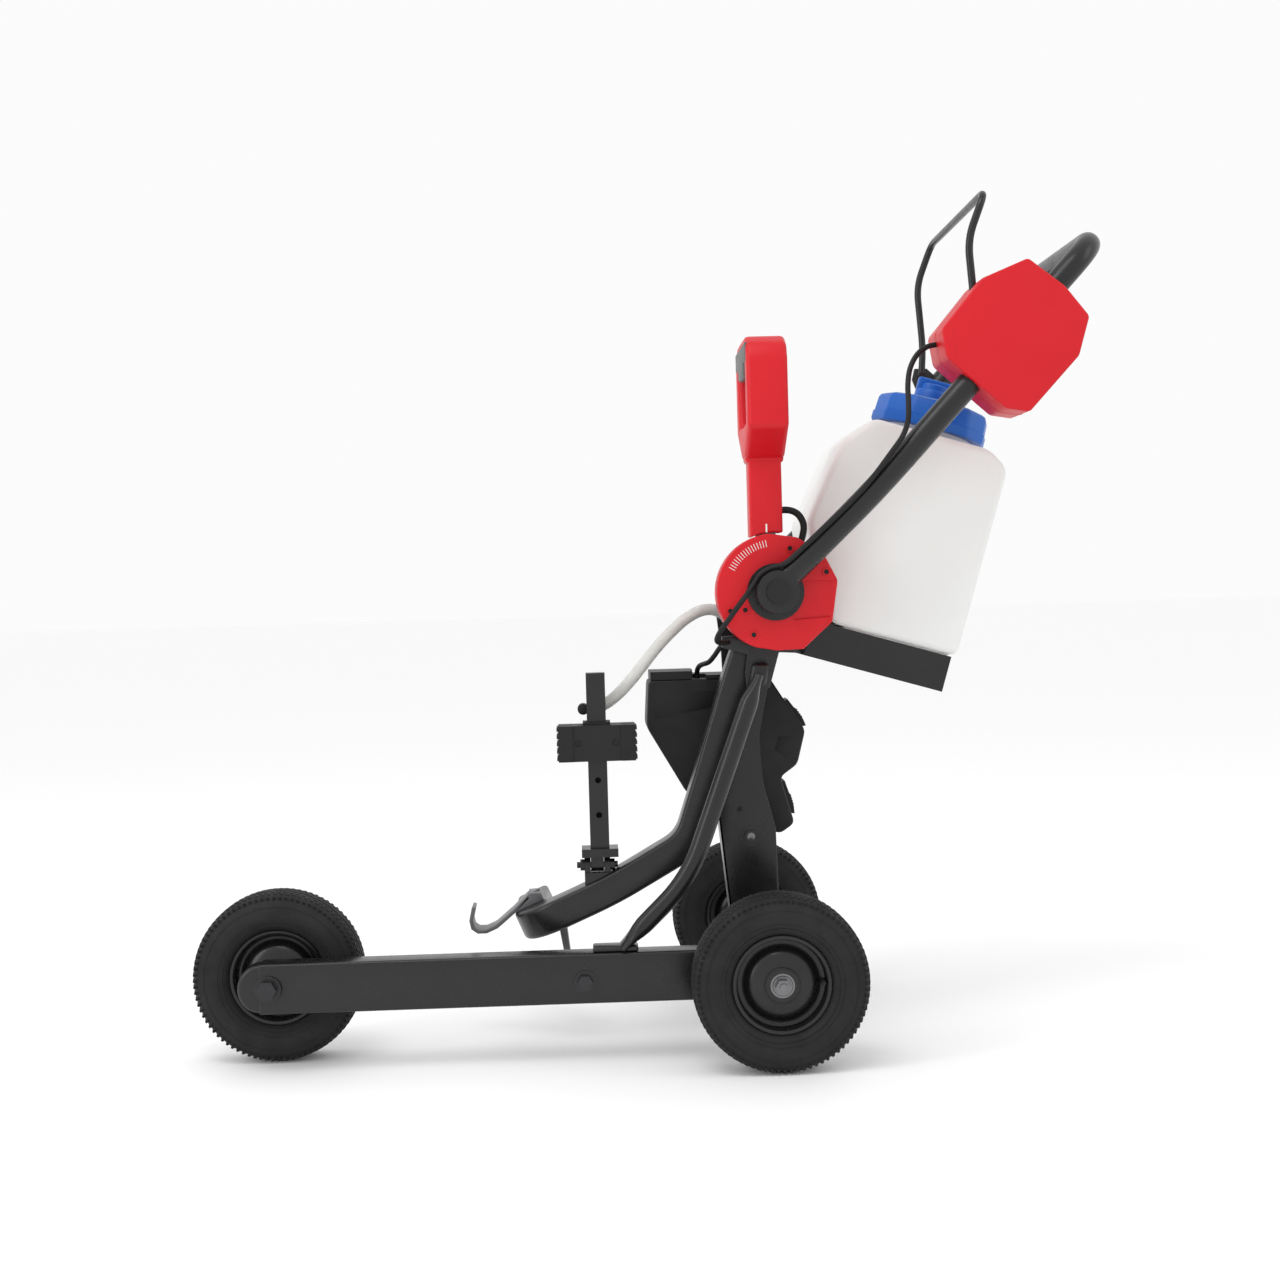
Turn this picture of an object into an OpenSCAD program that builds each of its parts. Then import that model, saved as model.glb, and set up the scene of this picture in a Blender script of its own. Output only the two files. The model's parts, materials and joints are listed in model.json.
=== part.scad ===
// Walk-behind cart for a hand-held cut-off saw: three wheels, a tilting saw carrier with a depth
// lever, a folding handle with a throttle bail, and a water tank with its hose.
// X runs front to back, Y from the operator's left to right, Z up. The floor is at Z = 0.

/* [Wheels] */
// Tyre diameter
wheel_d = 222; // [210:1:240]
// Tyre width
tyre_w = 70; // [60:1:76]
// Rim flange diameter
rim_d = 125; // [118:1:130]
// Distance between the middles of the rear tyres
track = 472; // [460:2:560]
// Distance between the axles
wheelbase = 644; // [600:4:780]
// Rear axle, distance behind the middle
rear_axle_x = 156; // [152:1:160]
// Middle of the front tyre, across the cart
front_wheel_y = -92; // [-100:1:-80]
// Axle diameter
axle_d = 15; // [12:0.5:16]
// Bearing outer diameter
bearing_d = 32; // [28:1:36]
// Bearing width
bearing_w = 9; // [7:1:12]

/* [Frame] */
// Height of the side rail
rail_h = 64; // [50:1:70]
// Width of the side rail
rail_w = 38; // [34:1:40]
// Wall of the side rail
rail_wall = 3; // [2:0.5:4]
// Middle of the side rail, across the cart
rail_y = -166; // [-170:1:-160]
// Rear axle tube diameter
axle_tube_d = 34; // [30:1:40]
// Brace tube diameter
brace_d = 27; // [22:1:30]
// Thickness of the sheet metal of the upright and tray
sheet_t = 3; // [2:0.5:4]

/* [Pivot] */
// Main pivot, distance behind the middle
pivot_x = 170; // [160:1:180]
// Main pivot height
pivot_z = 595; // [580:1:660]
// Main shaft diameter
shaft_d = 20; // [16:1:22]
// Radius of the round side of the dial housing
dial_r = 75; // [72:1:80]
// Wall of the plastic housings
shell_t = 3; // [2:0.5:4]
// Gear module
gear_m = 1.5; // [1.4:0.05:1.5]

/* [Saw carrier] */
// Carrier tube height
boom_h = 40; // [34:1:44]
// Carrier tube width
boom_w = 46; // [40:1:46]
// Length of the cross part of the carrier
boom_cross = 150; // [100:5:170]
// Hole in the hook for a cord or a pin
hook_hole_d = 10.5; // [8:0.5:14]
// Post tube side
post_s = 25; // [20:1:30]
// Top of the post
post_top = 495; // [460:5:560]

/* [Handle] */
// Handle tube diameter
handle_d = 32; // [28:1:32]
// Middle of each handle arm, from the middle of the cart
arm_y = 190; // [186:1:200]
// Bail rod diameter
bail_d = 10; // [8:0.5:12]

/* [Tank] */
// Tank width across the cart
tank_w = 200; // [170:5:210]
// Tank height to its shoulders
tank_h = 276; // [240:2:340]
// Cap diameter
cap_d = 160; // [130:2:170]
// Backward tilt of the tank and tray, degrees
tank_tilt = 16.5; // [14:0.5:18]

/* [Fits] */
// Radial clearance of a running fit
run_fit = 0.05; // [0.03:0.01:0.09]
// Gap between parts that move past each other
slide_gap = 0.4; // [0.3:0.1:0.8]

/* [Hidden] */
$fn = 48;

// Wheels and axles
wheel_r = wheel_d / 2;
front_axle_x = rear_axle_x - wheelbase;
hub_half = 30;
seat_d = rim_d - 7;
washer_t = 1;
nut_h = 9;
axle_stub_d = 10;
axle_nut_af = 17;
bolt_af = 22;

// Side rail
rail_near = rail_y - rail_w / 2;
rail_far = rail_y + rail_w / 2;
rail_top = wheel_r - 1 + rail_h / 2;
rail_mid = rail_top - rail_h / 2;
nose_r = 14;
nose_l = 17;
mid_bolt_x = -87;
mid_bolt_z = rail_mid - 3;
bolt_hole_d = 10.5;

// Stack of parts along the main pivot, from the operator's left
arm_hub_d = 54;
arm_hub_near = -arm_y - 17;
arm_hub_far = 17 - arm_y;
disc_t = 6;
dial_near = arm_hub_far + disc_t + 1;
dial_split = dial_near + 20;
dial_far = dial_near + 40;
gear_w = 8;
stage_one = dial_near + 6;
lever_plate_y = stage_one + gear_w + 1;
lever_plate_t = 5;
stage_two = lever_plate_y + lever_plate_t + 5;
lever_hub_d = 25;
quadrant_d = 44;
boom_hub_d = 40;
brace_plate_y = dial_far + 1;
brace_plate_t = 8;
boom_near = brace_plate_y + brace_plate_t + 5;
boom_far = boom_near + boom_w;
boom_mid = boom_near + boom_w / 2;
upright_near = boom_far + 6;
upright_far = upright_near + 40;
hanger_y = upright_far + 6;
hanger_t = 9;
shroud_y = hanger_y + hanger_t;
shroud_split = shroud_y + 40;
shroud_back = shroud_y + 90;
tube_near = shroud_y + 1;
tube_far = arm_y - 18;

// Gears: lever to layshaft, layshaft to carrier
small_teeth = 20;
large_teeth = 35;
gear_c = gear_m * (small_teeth + large_teeth) / 2;
shaft_angle = -22;
lay_x = gear_c * cos(shaft_angle);
lay_z = gear_c * sin(shaft_angle);
lay_d = 12;
backlash = 0.12;

// Dial housing, corners counted from the pivot
dial_corners = [[0, 75], [64, 46], [81, 12], [73, -40], [35, -74], [-27, -68]];
dial_screw_at = [[20, 55], [66, 21], [-58, -23], [-39, -22], [-29, -54]];
dial_screw_d = 3.2;
dial_boss_d = 8;
dial_bore_d = 60;

// Depth lever
lever_foot = dial_r + 1;
stem_x = -9;
stem_w = 42;
grip_w = 52;
stem_near = dial_near + 1;
stem_far = dial_far - 1;
grip_near = arm_hub_near - 17;
grip_far = grip_near + 156;
grip_low = 205;
grip_high = 323;
lever_mid = lever_plate_y + lever_plate_t;
loop_low = 213;
loop_high = 287;
loop_near = grip_near + 30;
loop_far = grip_far - 30;
trigger_travel = 6;

// Saw carrier
boom_slope = 23.2;
boom_front_x = -152;
boom_front_z = 165;
boom_line = [[-126, 176], [-49, 209], [10, 242], [34, 255], [47, 265], [57, 278], [64, 294],
    [82, 351], [130, 502], [pivot_x, pivot_z]];
boom_wall = 3;
corner_r = 42;
cross_far = boom_mid + boom_cross;

// Post and clamp
post_x = -63;
post_y = boom_mid;
pad_plate_z = 253;
pad_plate_t = 11;
foot_block_w = 34;
tilt_bolt_z = 241;
tilt_bolt_d = 8;
clamp_low = 380;
clamp_high = 427;
clamp_w = 101;
clamp_pad_w = 19;
post_wall = 2;

// Handle
arm_points = [[6, 11], [26, 30], [130, 128], [416, 436]];
arm_corner_r = 50;
throttle_corners = [[493, 1004], [539, 968], [569, 930], [555, 881], [491, 812], [461, 817],
    [388, 882], [382, 918], [434, 980]];
box_near = -arm_y - 24;
box_split = box_near + 46;
box_far = box_near + 95;
bail_pivot = [430, 905];
bail_points = [[430, 905], [433, 945], [426, 1036], [449, 1096]];
bail_y = arm_y - 16;
bail_bush_d = 20;

// Tank, in a frame tilted back with its origin at the middle of the tank's base
tank_at = [333, 527];
tank_side = [[87, 0], [88, 0.93], [58, 1], [-102, 1], [-134, 0.86], [-152, 0.44], [-88, 0]];
tray_front = -150;
tray_back = 80;
tray_depth = 50;
tray_step_x = -110;
tray_step_y = 56;
tank_foot = tray_depth - sheet_t;
cap_x = -13;
cap_h = 40;
neck_step = 10;
knob_x = -19;
knob_stem_d = 10;
outlet_y = 20;
outlet_z = -28;
neck_d = 120;
knob_d = 50;

// Cord routes, points in millimetres
hose_d = 16;
cable_d = 7;
release_cable_d = 9;
outlet_d = 14;
hose_x = 118;
hose_z = 562;
hose_rear_route = [[176.5, 20, 544.2], [165, 20, 547.6], [153, 19.9, 551.1], [142.5, 19.4, 554.2], [133, 17.8, 557.2],
    [126, 15.3, 559.6], [121, 11.6, 561.2], [118.5, 7.5, 561.9], [118, 4.2, 562]];
hose_front_route = [[hose_x, 2.8, hose_z], [hose_x, -6, hose_z], [hose_x, -12, hose_z], [hose_x, -18, hose_z],
    [117, -23, 563.5], [113.5, -28, 566.5], [107, -32.5, 570], [98, -36.5, 573], [86, -40, 573], [72, -44.5, 568],
    [57, -49.5, 559], [44, -55, 548], [30, -59, 535], [16, -62, 520], [2, -63, 503], [-13, -63, 485],
    [-28, -62, 469], [-41.8, -62, 455.2]];
cable_upper_route = [[385, -165, 905], [372, -168, 902], [358, -174, 892], [347, -182, 874], [342, -190, 852],
    [341, -197, 829], [339, -202, 806], [331, -205, 786], [317, -205.5, 767], [290, -205.5, 732.8],
    [262, -205.5, 704], [231, -205.5, 675.5], [199, -204, 647], [179, -202, 630.5], [162, -199, 625.5],
    [149, -196, 618], [141, -194, 607], [132, -191, 594], [120, -187, 578], [107, -181, 560], [98, -174, 547],
    [94, -165, 538], [95, -155, 533.5], [99, -145, 531.5], [106, -137, 531], [110, -129, 531],
    [110, -125.8, 531]];
cable_lower_route = [[110, -125.4, 531], [110, -116, 531], [109, -106, 530.5], [107, -92, 528], [103, -72, 521],
    [98, -50, 511], [93, -30, 503], [89, -17, 500]];
release_cable_route = [[182, -146, 700], [190, -146, 700], [198, -146, 698], [205, -146, 693], [210, -146, 684],
    [211, -146, 676], [209.6, -146, 668], [208, -146, 662.5]];

// A flat piece with its outline in the X-Z plane, from y0 to y1
module slab(points, y0, y1) {
    translate([0, y1, 0])
        rotate([90, 0, 0])
            linear_extrude(height = y1 - y0)
                polygon(points);
}

// A round rod across the cart
module rod(x, z, y0, y1, d) {
    translate([x, y0, z])
        rotate([-90, 0, 0])
            cylinder(h = y1 - y0, d = d);
}

// A hexagon across the cart
module hex_rod(x, z, y0, y1, af) {
    translate([x, y0, z])
        rotate([-90, 0, 0])
            cylinder(h = y1 - y0, d = af / cos(30), $fn = 6);
}

// A round bar from a to b
module bar(a, b, d) {
    v = b - a;
    translate(a)
        rotate([0, acos(v[2] / norm(v)), atan2(v[1], v[0])])
            cylinder(h = norm(v), d = d);
}

// A bent round bar with ball corners
module bent_bar(points, d) {
    for (i = [0:len(points) - 2])
        bar(points[i], points[i + 1], d);
    for (i = [1:1:len(points) - 2])
        translate(points[i])
            sphere(d = d);
}

module at_pivot() {
    translate([pivot_x, 0, pivot_z])
        children();
}

// Turned in the X-Z plane, positive from X towards Z
module turned(angle) {
    rotate([0, -angle, 0])
        children();
}

function unit(v) = v / norm(v);
function tangent(p, i) = unit(p[min(i + 1, len(p) - 1)] - p[max(i - 1, 0)]);
function side_of(t) = unit(cross(t, [0.2, 1, 0.1]));

// A cord: one closed tube swept along its points
module cord(points, d, sides = 8) {
    n = len(points);
    rings = [for (i = [0:n - 1]) let (t = tangent(points, i), u = side_of(t), w = cross(t, u))
        for (j = [0:sides - 1]) points[i] + d / 2 * (cos(360 * j / sides) * u + sin(360 * j / sides) * w)];
    walls = [for (i = [0:n - 2]) for (j = [0:sides - 1])
        [i * sides + j, (i + 1) * sides + j, (i + 1) * sides + (j + 1) % sides, i * sides + (j + 1) % sides]];
    first = [for (j = [0:sides - 1]) j];
    last = [for (j = [sides - 1:-1:0]) (n - 1) * sides + j];
    polyhedron(points = rings, faces = concat([first], walls, [last]), convexity = 6);
}

// The same points with each corner rounded over
function rounded(p, r) = concat([p[0]], [for (i = [1:len(p) - 2]) for (t = [0:0.25:1])
    let (a = p[i] - r * unit(p[i] - p[i - 1]), b = p[i] + r * unit(p[i + 1] - p[i]))
    (1 - t) * (1 - t) * a + 2 * t * (1 - t) * p[i] + t * t * b], [p[len(p) - 1]]);

// Involute gear outline, with the first tooth pointing along angle
function inv(a) = tan(a) * 180 / PI - a;
function flank(r, rb, half) = half + inv(20) - inv(acos(min(1, rb / r)));
function gear_points(teeth, angle) = let (
    rp = gear_m * teeth / 2, rb = rp * cos(20), ra = rp + gear_m * 0.95, rf = rp - 1.25 * gear_m,
    half = 90 / teeth - backlash / rp * 180 / PI / 2,
    rs = [for (k = [0:4]) max(rb, rf) + (ra - max(rb, rf)) * k / 4])
    [for (i = [0:teeth - 1]) let (a = angle + 360 * i / teeth) each concat(
        [[rf * cos(a - flank(rs[0], rb, half) - 0.8), rf * sin(a - flank(rs[0], rb, half) - 0.8)]],
        [for (r = rs) [r * cos(a - flank(r, rb, half)), r * sin(a - flank(r, rb, half))]],
        [for (k = [4:-1:0]) [rs[k] * cos(a + flank(rs[k], rb, half)), rs[k] * sin(a + flank(rs[k], rb, half))]],
        [[rf * cos(a + flank(rs[0], rb, half) + 0.8), rf * sin(a + flank(rs[0], rb, half) + 0.8)]])];

// Frame

module rail_bore(x, z, d) {
    rod(x, z, rail_near - 1, rail_far + 1, d);
}

module main_rail() {
    x0 = front_axle_x - 25;
    x1 = rear_axle_x + axle_tube_d / 2 + 12;
    color([0.09, 0.09, 0.1])
        difference() {
            union() {
                translate([x0, rail_near, rail_mid - rail_h / 2])
                    cube([x1 - x0, rail_w, rail_h]);
                for (s = [-1, 1])
                    rod(x0, rail_mid + s * (rail_h / 2 - nose_r), rail_near + 4, rail_far, 2 * nose_r);
                translate([x0 - nose_r, rail_near + 4, rail_mid - rail_h / 2 + nose_r])
                    cube([nose_r, rail_w - 4, rail_h - 2 * nose_r]);
            }
            translate([x0, rail_near + rail_wall, rail_mid - rail_h / 2 + rail_wall])
                cube([x1 - x0 - rail_wall, rail_w - 2 * rail_wall, rail_h - 2 * rail_wall]);
            translate([60, rail_y, rail_mid - rail_h])
                cylinder(h = rail_h, d = 8);
            rail_bore(front_axle_x, wheel_r, axle_d + 0.5);
            rail_bore(mid_bolt_x, mid_bolt_z, bolt_hole_d);
            rail_bore(rear_axle_x, wheel_r, axle_tube_d);
        }
}

module axle_tube() {
    y = track / 2 - hub_half - washer_t;
    color([0.09, 0.09, 0.1])
        difference() {
            rod(rear_axle_x, wheel_r, -y, y, axle_tube_d);
            rod(rear_axle_x, wheel_r, -y - 1, y + 1, axle_d + 2 * run_fit);
        }
}

module rear_axle() {
    y = track / 2 + hub_half;
    color([0.55, 0.55, 0.57]) {
        rod(rear_axle_x, wheel_r, -y, y, axle_d);
        rod(rear_axle_x, wheel_r, -y - nut_h - 4, y + nut_h + 4, axle_stub_d);
    }
}

module axle_nuts() {
    y = track / 2 + hub_half;
    color([0.35, 0.35, 0.37])
        for (s = [-1, 1])
            difference() {
                union() {
                    hex_rod(rear_axle_x, wheel_r, min(s * (y + 1.5), s * (y + 1.5 + nut_h)),
                        max(s * (y + 1.5), s * (y + 1.5 + nut_h)), axle_nut_af);
                    rod(rear_axle_x, wheel_r, min(s * y, s * (y + 1.5)), max(s * y, s * (y + 1.5)), 24);
                }
                rod(rear_axle_x, wheel_r, -y - 30, y + 30, axle_stub_d);
            }
}

module front_axle_bolt() {
    y0 = rail_near - 3;
    y1 = front_wheel_y + hub_half + washer_t;
    color([0.15, 0.15, 0.16]) {
        rod(front_axle_x, wheel_r, y0, y1 + 16, axle_d);
        hex_rod(front_axle_x, wheel_r, y0 - 11, y0, bolt_af);
        difference() {
            union() {
                rod(front_axle_x, wheel_r, y0, rail_near, 34);
                rod(front_axle_x, wheel_r, rail_far, front_wheel_y - hub_half - washer_t, 26);
                hex_rod(front_axle_x, wheel_r, y1, y1 + 13, bolt_af);
            }
            rod(front_axle_x, wheel_r, y0 - 20, y1 + 20, axle_d);
        }
    }
}

// Points of the brace, from its foot to the flattened top
brace_foot = [-38, rail_y, rail_top + 4];
brace_knee = [50, rail_y, 231];
brace_crush = [148, brace_plate_y - 15, 488];

// The throttle cable's clip on the brace
clip_at = [110, brace_plate_y + brace_plate_t / 2, 531];

module brace_tube() {
    y0 = brace_plate_y;
    y1 = brace_plate_y + brace_plate_t;
    color([0.07, 0.07, 0.08])
        difference() {
            union() {
                translate([-76, rail_near + 4, rail_top])
                    cube([58, rail_w - 8, 8]);
                cord(rounded([brace_foot, brace_knee, brace_crush], 40), brace_d, 16);
                slab([[132, 466], [160, 466], [164, 504], [140, 504]], y0 - 16, y1);
                slab([[134, 470], [164, 470], [192, pivot_z], [150, pivot_z], [132, 490]], y0, y1);
                slab([[clip_at[0] - 6, clip_at[2] - 7], [140, 512], [146, 540], [clip_at[0] - 6, clip_at[2] + 7]], y0, y1);
                rod(pivot_x, pivot_z, y0, y1, boom_hub_d + 14);
            }
            translate([-100, rail_near - 1, rail_top - 30])
                cube([150, rail_w + 2, 30]);
            rod(pivot_x, pivot_z, y0 - 1, y1 + 1, boom_hub_d + 2 * run_fit);
            rod(clip_at[0], clip_at[2], y0 - 1, y1 + 1, cable_d + 0.6);
        }
}

upright_side = [[116, wheel_r - 6], [98, 290], [90, 360], [108, 450], [140, 540], [150, 612],
    [192, 612], [196, 560], [262, 520], [240, 492], [180, 476], [168, 460], [155, 401], [158, 340],
    [174, 278], [177, wheel_r - 6]];

module rear_upright() {
    color([0.08, 0.08, 0.09])
        difference() {
            union() {
                slab(upright_side, upright_near, upright_near + sheet_t);
                slab(upright_side, upright_far - sheet_t, upright_far);
                slab([[116, wheel_r - 6], [98, 290], [90, 360], [96, 360], [104, 290],
                    [122, wheel_r - 6]], upright_near, upright_far);
                slab([[90, 360], [108, 450], [140, 540], [146, 538], [114, 448], [96, 358]],
                    upright_near, upright_far);
                rod(pivot_x, pivot_z, upright_near, upright_far, boom_hub_d + 16);
                rod(rear_axle_x, wheel_r, upright_near, upright_far, axle_tube_d + 14);
            }
            rod(pivot_x, pivot_z, upright_near - 1, upright_far + 1, boom_hub_d + 2 * run_fit);
            rod(rear_axle_x, wheel_r, upright_near - 1, upright_far + 1, axle_tube_d);
            rod(140, 268, upright_near - 1, upright_far + 1, bolt_hole_d);
            rod(126, 305, upright_near - 1, upright_far + 1, 6);
            in_tank_frame()
                translate([tray_front, -300, -tray_depth])
                    cube([400, 600, 200]);
        }
}

module cap_bolt(x, z, y0, y1, d, head, washer) {
    rod(x, z, y0, y1 + 10, d);
    hex_rod(x, z, y0 - head, y0, 17);
    difference() {
        union() {
            rod(x, z, y0 - 0.01, y0 + washer, 28);
            hex_rod(x, z, y1, y1 + 8, 17);
        }
        rod(x, z, y0 - 1, y1 + 20, d);
    }
}

module frame_bolts() {
    color([0.16, 0.16, 0.17]) {
        cap_bolt(mid_bolt_x, mid_bolt_z, rail_near - 2, rail_far, 10, 8, 2);
        cap_bolt(140, 268, upright_near - 1.2, upright_far, 10, 3.4, 1.2);
    }
}

module pivot_tube() {
    color([0.08, 0.08, 0.09])
        difference() {
            union() {
                rod(pivot_x, pivot_z, tube_near, tube_far, 38);
                for (y = [tank_w / 2 - 60, tank_w / 2 - 20])
                    slab([[pivot_x - 12, pivot_z - 10], [pivot_x + 14, pivot_z - 10],
                        [250, 525], [180, 538]], y, y + 6);
            }
            rod(pivot_x, pivot_z, tube_near - 1, tube_far + 1, shaft_d);
            in_tank_frame()
                translate([tray_front, -300, -tray_depth])
                    cube([400, 600, 200]);
        }
}

module pivot_shaft() {
    color([0.5, 0.5, 0.52])
        rod(pivot_x, pivot_z, 2 - arm_y - 17, arm_y + 15, shaft_d);
}

// The dial housing's outline, shrunk by inset
module dial_outline(y0, y1, inset) {
    at_pivot() {
        rod(0, 0, y0, y1, 2 * (dial_r - inset));
        slab([for (c = dial_corners) c * (1 - 1.06 * inset / norm(c))], y0, y1);
    }
}

module lever_slot() {
    at_pivot()
        difference() {
            slab(concat([[0, 0]], [for (a = [76:16:172]) 100 * [cos(a), sin(a)]]),
                lever_plate_y - 1, lever_plate_y + lever_plate_t + 1);
            rod(0, 0, dial_near, dial_far, 2 * (dial_r - 8));
        }
}

// Way in for the release cable, through the rim
module cable_way() {
    bar([212, -146, 678], [204, -146, 640], release_cable_d + 3);
}

module dial_cover() {
    color([0.8, 0.05, 0.08])
        difference() {
            union() {
                difference() {
                    dial_outline(dial_near, dial_split, 0);
                    dial_outline(dial_near + shell_t, dial_split + 1, shell_t);
                }
                at_pivot()
                    for (p = dial_screw_at)
                        rod(p[0], p[1], dial_near + 1, dial_split, dial_boss_d);
                at_pivot() rod(lay_x, lay_z, dial_near + 1, stage_one - 0.5, lay_d + 8);
            }
            rod(pivot_x, pivot_z, dial_near - 1, dial_near + shell_t + 1, dial_bore_d);
            at_pivot() rod(lay_x, lay_z, dial_near + shell_t, stage_one, lay_d + 2 * run_fit);
            at_pivot()
                for (p = dial_screw_at) {
                    rod(p[0], p[1], dial_near - 1, dial_split + 1, dial_screw_d);
                    rod(p[0], p[1], dial_near - 1, dial_near + 8, 6);
                }
            lever_slot();
            cable_way();
        }
}

module dial_base() {
    color([0.75, 0.05, 0.08])
        difference() {
            union() {
                difference() {
                    dial_outline(dial_split, dial_far, 0);
                    dial_outline(dial_split - 1, dial_far - shell_t, shell_t);
                }
                at_pivot() {
                    for (p = dial_screw_at)
                        rod(p[0], p[1], dial_split, dial_far - 1, dial_boss_d);
                    rod(lay_x, lay_z, stage_two + gear_w + 1, dial_far - 1, lay_d + 8);
                }
            }
            rod(pivot_x, pivot_z, dial_far - shell_t - 1, dial_far + 1, boom_hub_d + 2);
            at_pivot() {
                for (p = dial_screw_at)
                    rod(p[0], p[1], dial_split - 1, dial_split + 16, dial_screw_d);
                rod(lay_x, lay_z, stage_two, dial_far - shell_t + 1, lay_d + 2 * run_fit);
            }
            lever_slot();
            cable_way();
        }
}

module dial_screws() {
    color([0.2, 0.05, 0.05])
        at_pivot()
            for (p = dial_screw_at) {
                rod(p[0], p[1], dial_near + 6, dial_split + 15, dial_screw_d);
                rod(p[0], p[1], dial_near + 4, dial_near + 8, 5.6);
            }
}

module hub_disc() {
    color([0.08, 0.08, 0.09])
        difference() {
            union() {
                rod(pivot_x, pivot_z, dial_near - disc_t, dial_near - slide_gap, 73);
                rod(pivot_x, pivot_z, dial_near - 1, dial_near + shell_t, dial_bore_d);
            }
            rod(pivot_x, pivot_z, dial_near - 20, dial_near + 20, shaft_d);
        }
}

module in_tank_frame() {
    translate([tank_at[0], 0, tank_at[1]])
        rotate([0, tank_tilt, 0])
            children();
}

// Plan outline of the tray, stepped in at the front on the carrier's side
function tray_plan(t) = [[tray_front + t, t - tray_step_y], [tray_step_x + t, t - tray_step_y],
    [tray_step_x + t, t + 5 - tank_w / 2], [tray_back - t, t + 5 - tank_w / 2],
    [tray_back - t, tank_w / 2 - 5 - t], [tray_front + t, tank_w / 2 - 5 - t]];

module tank_tray() {
    color([0.08, 0.08, 0.09])
        in_tank_frame()
            difference() {
                translate([0, 0, -tray_depth])
                    linear_extrude(height = tray_depth - 2)
                        polygon(tray_plan(0));
                translate([0, 0, sheet_t - tray_depth])
                    linear_extrude(height = tray_depth)
                        polygon(tray_plan(sheet_t));
                for (y = [-60, 60])
                    translate([30, y, -tray_depth - 1])
                        cylinder(h = sheet_t + 2, d = 9);
                translate([tray_front + 10, outlet_y, outlet_z])
                    rotate([0, -90, 0])
                        cylinder(h = 20, d = outlet_d);
            }
}

// Wheels, turned about Y at their own axle

module tyre(x, y) {
    e = seat_d / 2;
    h = tyre_w / 2;
    color([0.11, 0.11, 0.11])
        translate([x, y, wheel_r])
            rotate([-90, 0, 0])
                rotate_extrude($fn = 96)
                    polygon([[e, -24], [e, -18], [e + 4, -14], [e + 10, -26], [e + 24, 6 - h],
                        [wheel_r - 14, 12 - h], [wheel_r - 9, 18 - h], [wheel_r - 9, h - 18],
                        [wheel_r - 14, h - 12], [e + 24, h - 6], [e + 10, 26], [e + 4, 14], [e, 18],
                        [e, 24], [e + 4, 24], [e + 6, 29], [e + 22, h - 1], [wheel_r - 24, h],
                        [wheel_r - 10, h - 3], [wheel_r - 3, h - 8], [wheel_r - 0.8, h - 14],
                        [wheel_r, 8], [wheel_r - 5, 7], [wheel_r - 5, 4], [wheel_r, 3],
                        [wheel_r, -3], [wheel_r - 5, -4], [wheel_r - 5, -7], [wheel_r, -8],
                        [wheel_r - 0.8, 14 - h], [wheel_r - 3, 8 - h], [wheel_r - 10, 3 - h],
                        [wheel_r - 24, -h], [e + 22, 1 - h], [e + 6, -29], [e + 4, -24]]);
}

module rim(x, y) {
    e = seat_d / 2;
    f = rim_d / 2;
    hub_r = 22.5;
    color([0.1, 0.1, 0.1])
        translate([x, y, wheel_r])
            rotate([-90, 0, 0])
                difference() {
                    rotate_extrude($fn = 96)
                        polygon([[bearing_d / 2, -hub_half], [hub_r, -hub_half], [hub_r, -26],
                            [40, -20], [e - 12, -9], [e - 3, -9], [e - 3, -26], [f, -26.5],
                            [f, -24], [e, -24], [e, 24], [f, 24], [f, 26.5], [e - 3, 26],
                            [e - 3, 9], [e - 12, 9], [40, 20], [hub_r, 26], [hub_r, hub_half],
                            [bearing_d / 2, hub_half]]);
                    rotate_extrude($fn = 96)
                        polygon([[hub_r, -23], [39, -17], [e - 11, -6], [e - 3, -6], [e - 3, 6],
                            [e - 11, 6], [39, 17], [hub_r, 23]]);
                    rotate([90, 0, 90])
                        cylinder(h = f, d = 9);
                    translate([0, 0, bearing_w - hub_half])
                        cylinder(h = 2 * (hub_half - bearing_w), d = bearing_d - 3);
                }
}

module bearings(x, y) {
    color([0.4, 0.4, 0.42])
        for (s = [0, 1])
            difference() {
                rod(x, wheel_r, y - hub_half + s * (2 * hub_half - bearing_w),
                    y - hub_half + bearing_w + s * (2 * hub_half - bearing_w), bearing_d);
                rod(x, wheel_r, y - hub_half - 1, y + hub_half + 1, axle_d + 2 * run_fit);
            }
}

// Saw carrier

boom_c = [cos(boom_slope), sin(boom_slope)];
boom_n = [-sin(boom_slope), cos(boom_slope)];
front_at = [boom_front_x, boom_front_z];

// One side of a bent strip along a line of points in the X-Z plane
function heading(p, i) = unit(p[i + 1] - p[i]);
function mitre(p, i) = let (a = heading(p, max(i - 1, 0)), b = heading(p, min(i, len(p) - 2)), m = unit(a + b))
    [-m[1], m[0]] / max(0.3, m * a);
function offside(p, t) = [for (i = [0:len(p) - 1]) p[i] + t * mitre(p, i)];
function reversed(p) = [for (i = [len(p) - 1:-1:0]) p[i]];
function strip(p, t) = concat(offside(p, t), reversed(offside(p, -t)));
function boom_run(start, last) = concat([front_at + start * boom_c, front_at + 112 * boom_c],
    [for (i = [2:last]) boom_line[i]]);
function boom_side(t) = strip(boom_run(corner_r, len(boom_line) - 1), t);
function boom_hollow(t) = strip(boom_run(corner_r - 3, len(boom_line) - 2), t);

// Plan outline of the carrier's corner and cross part, in its own sloping plane
function corner_line(less) = concat([[corner_r + 4, boom_mid]],
    [for (a = [0:11.25:90]) [corner_r * (1 - sin(a)), boom_mid + corner_r * (1 - cos(a))]],
    [[0, cross_far - less]]);

module boom_front(inset, less = 0) {
    translate([boom_front_x, 0, boom_front_z])
        rotate([0, -boom_slope, 0])
            translate([0, 0, inset - boom_h / 2])
                linear_extrude(height = boom_h - 2 * inset)
                    polygon(strip(corner_line(less), boom_w / 2 - inset));
}

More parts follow.
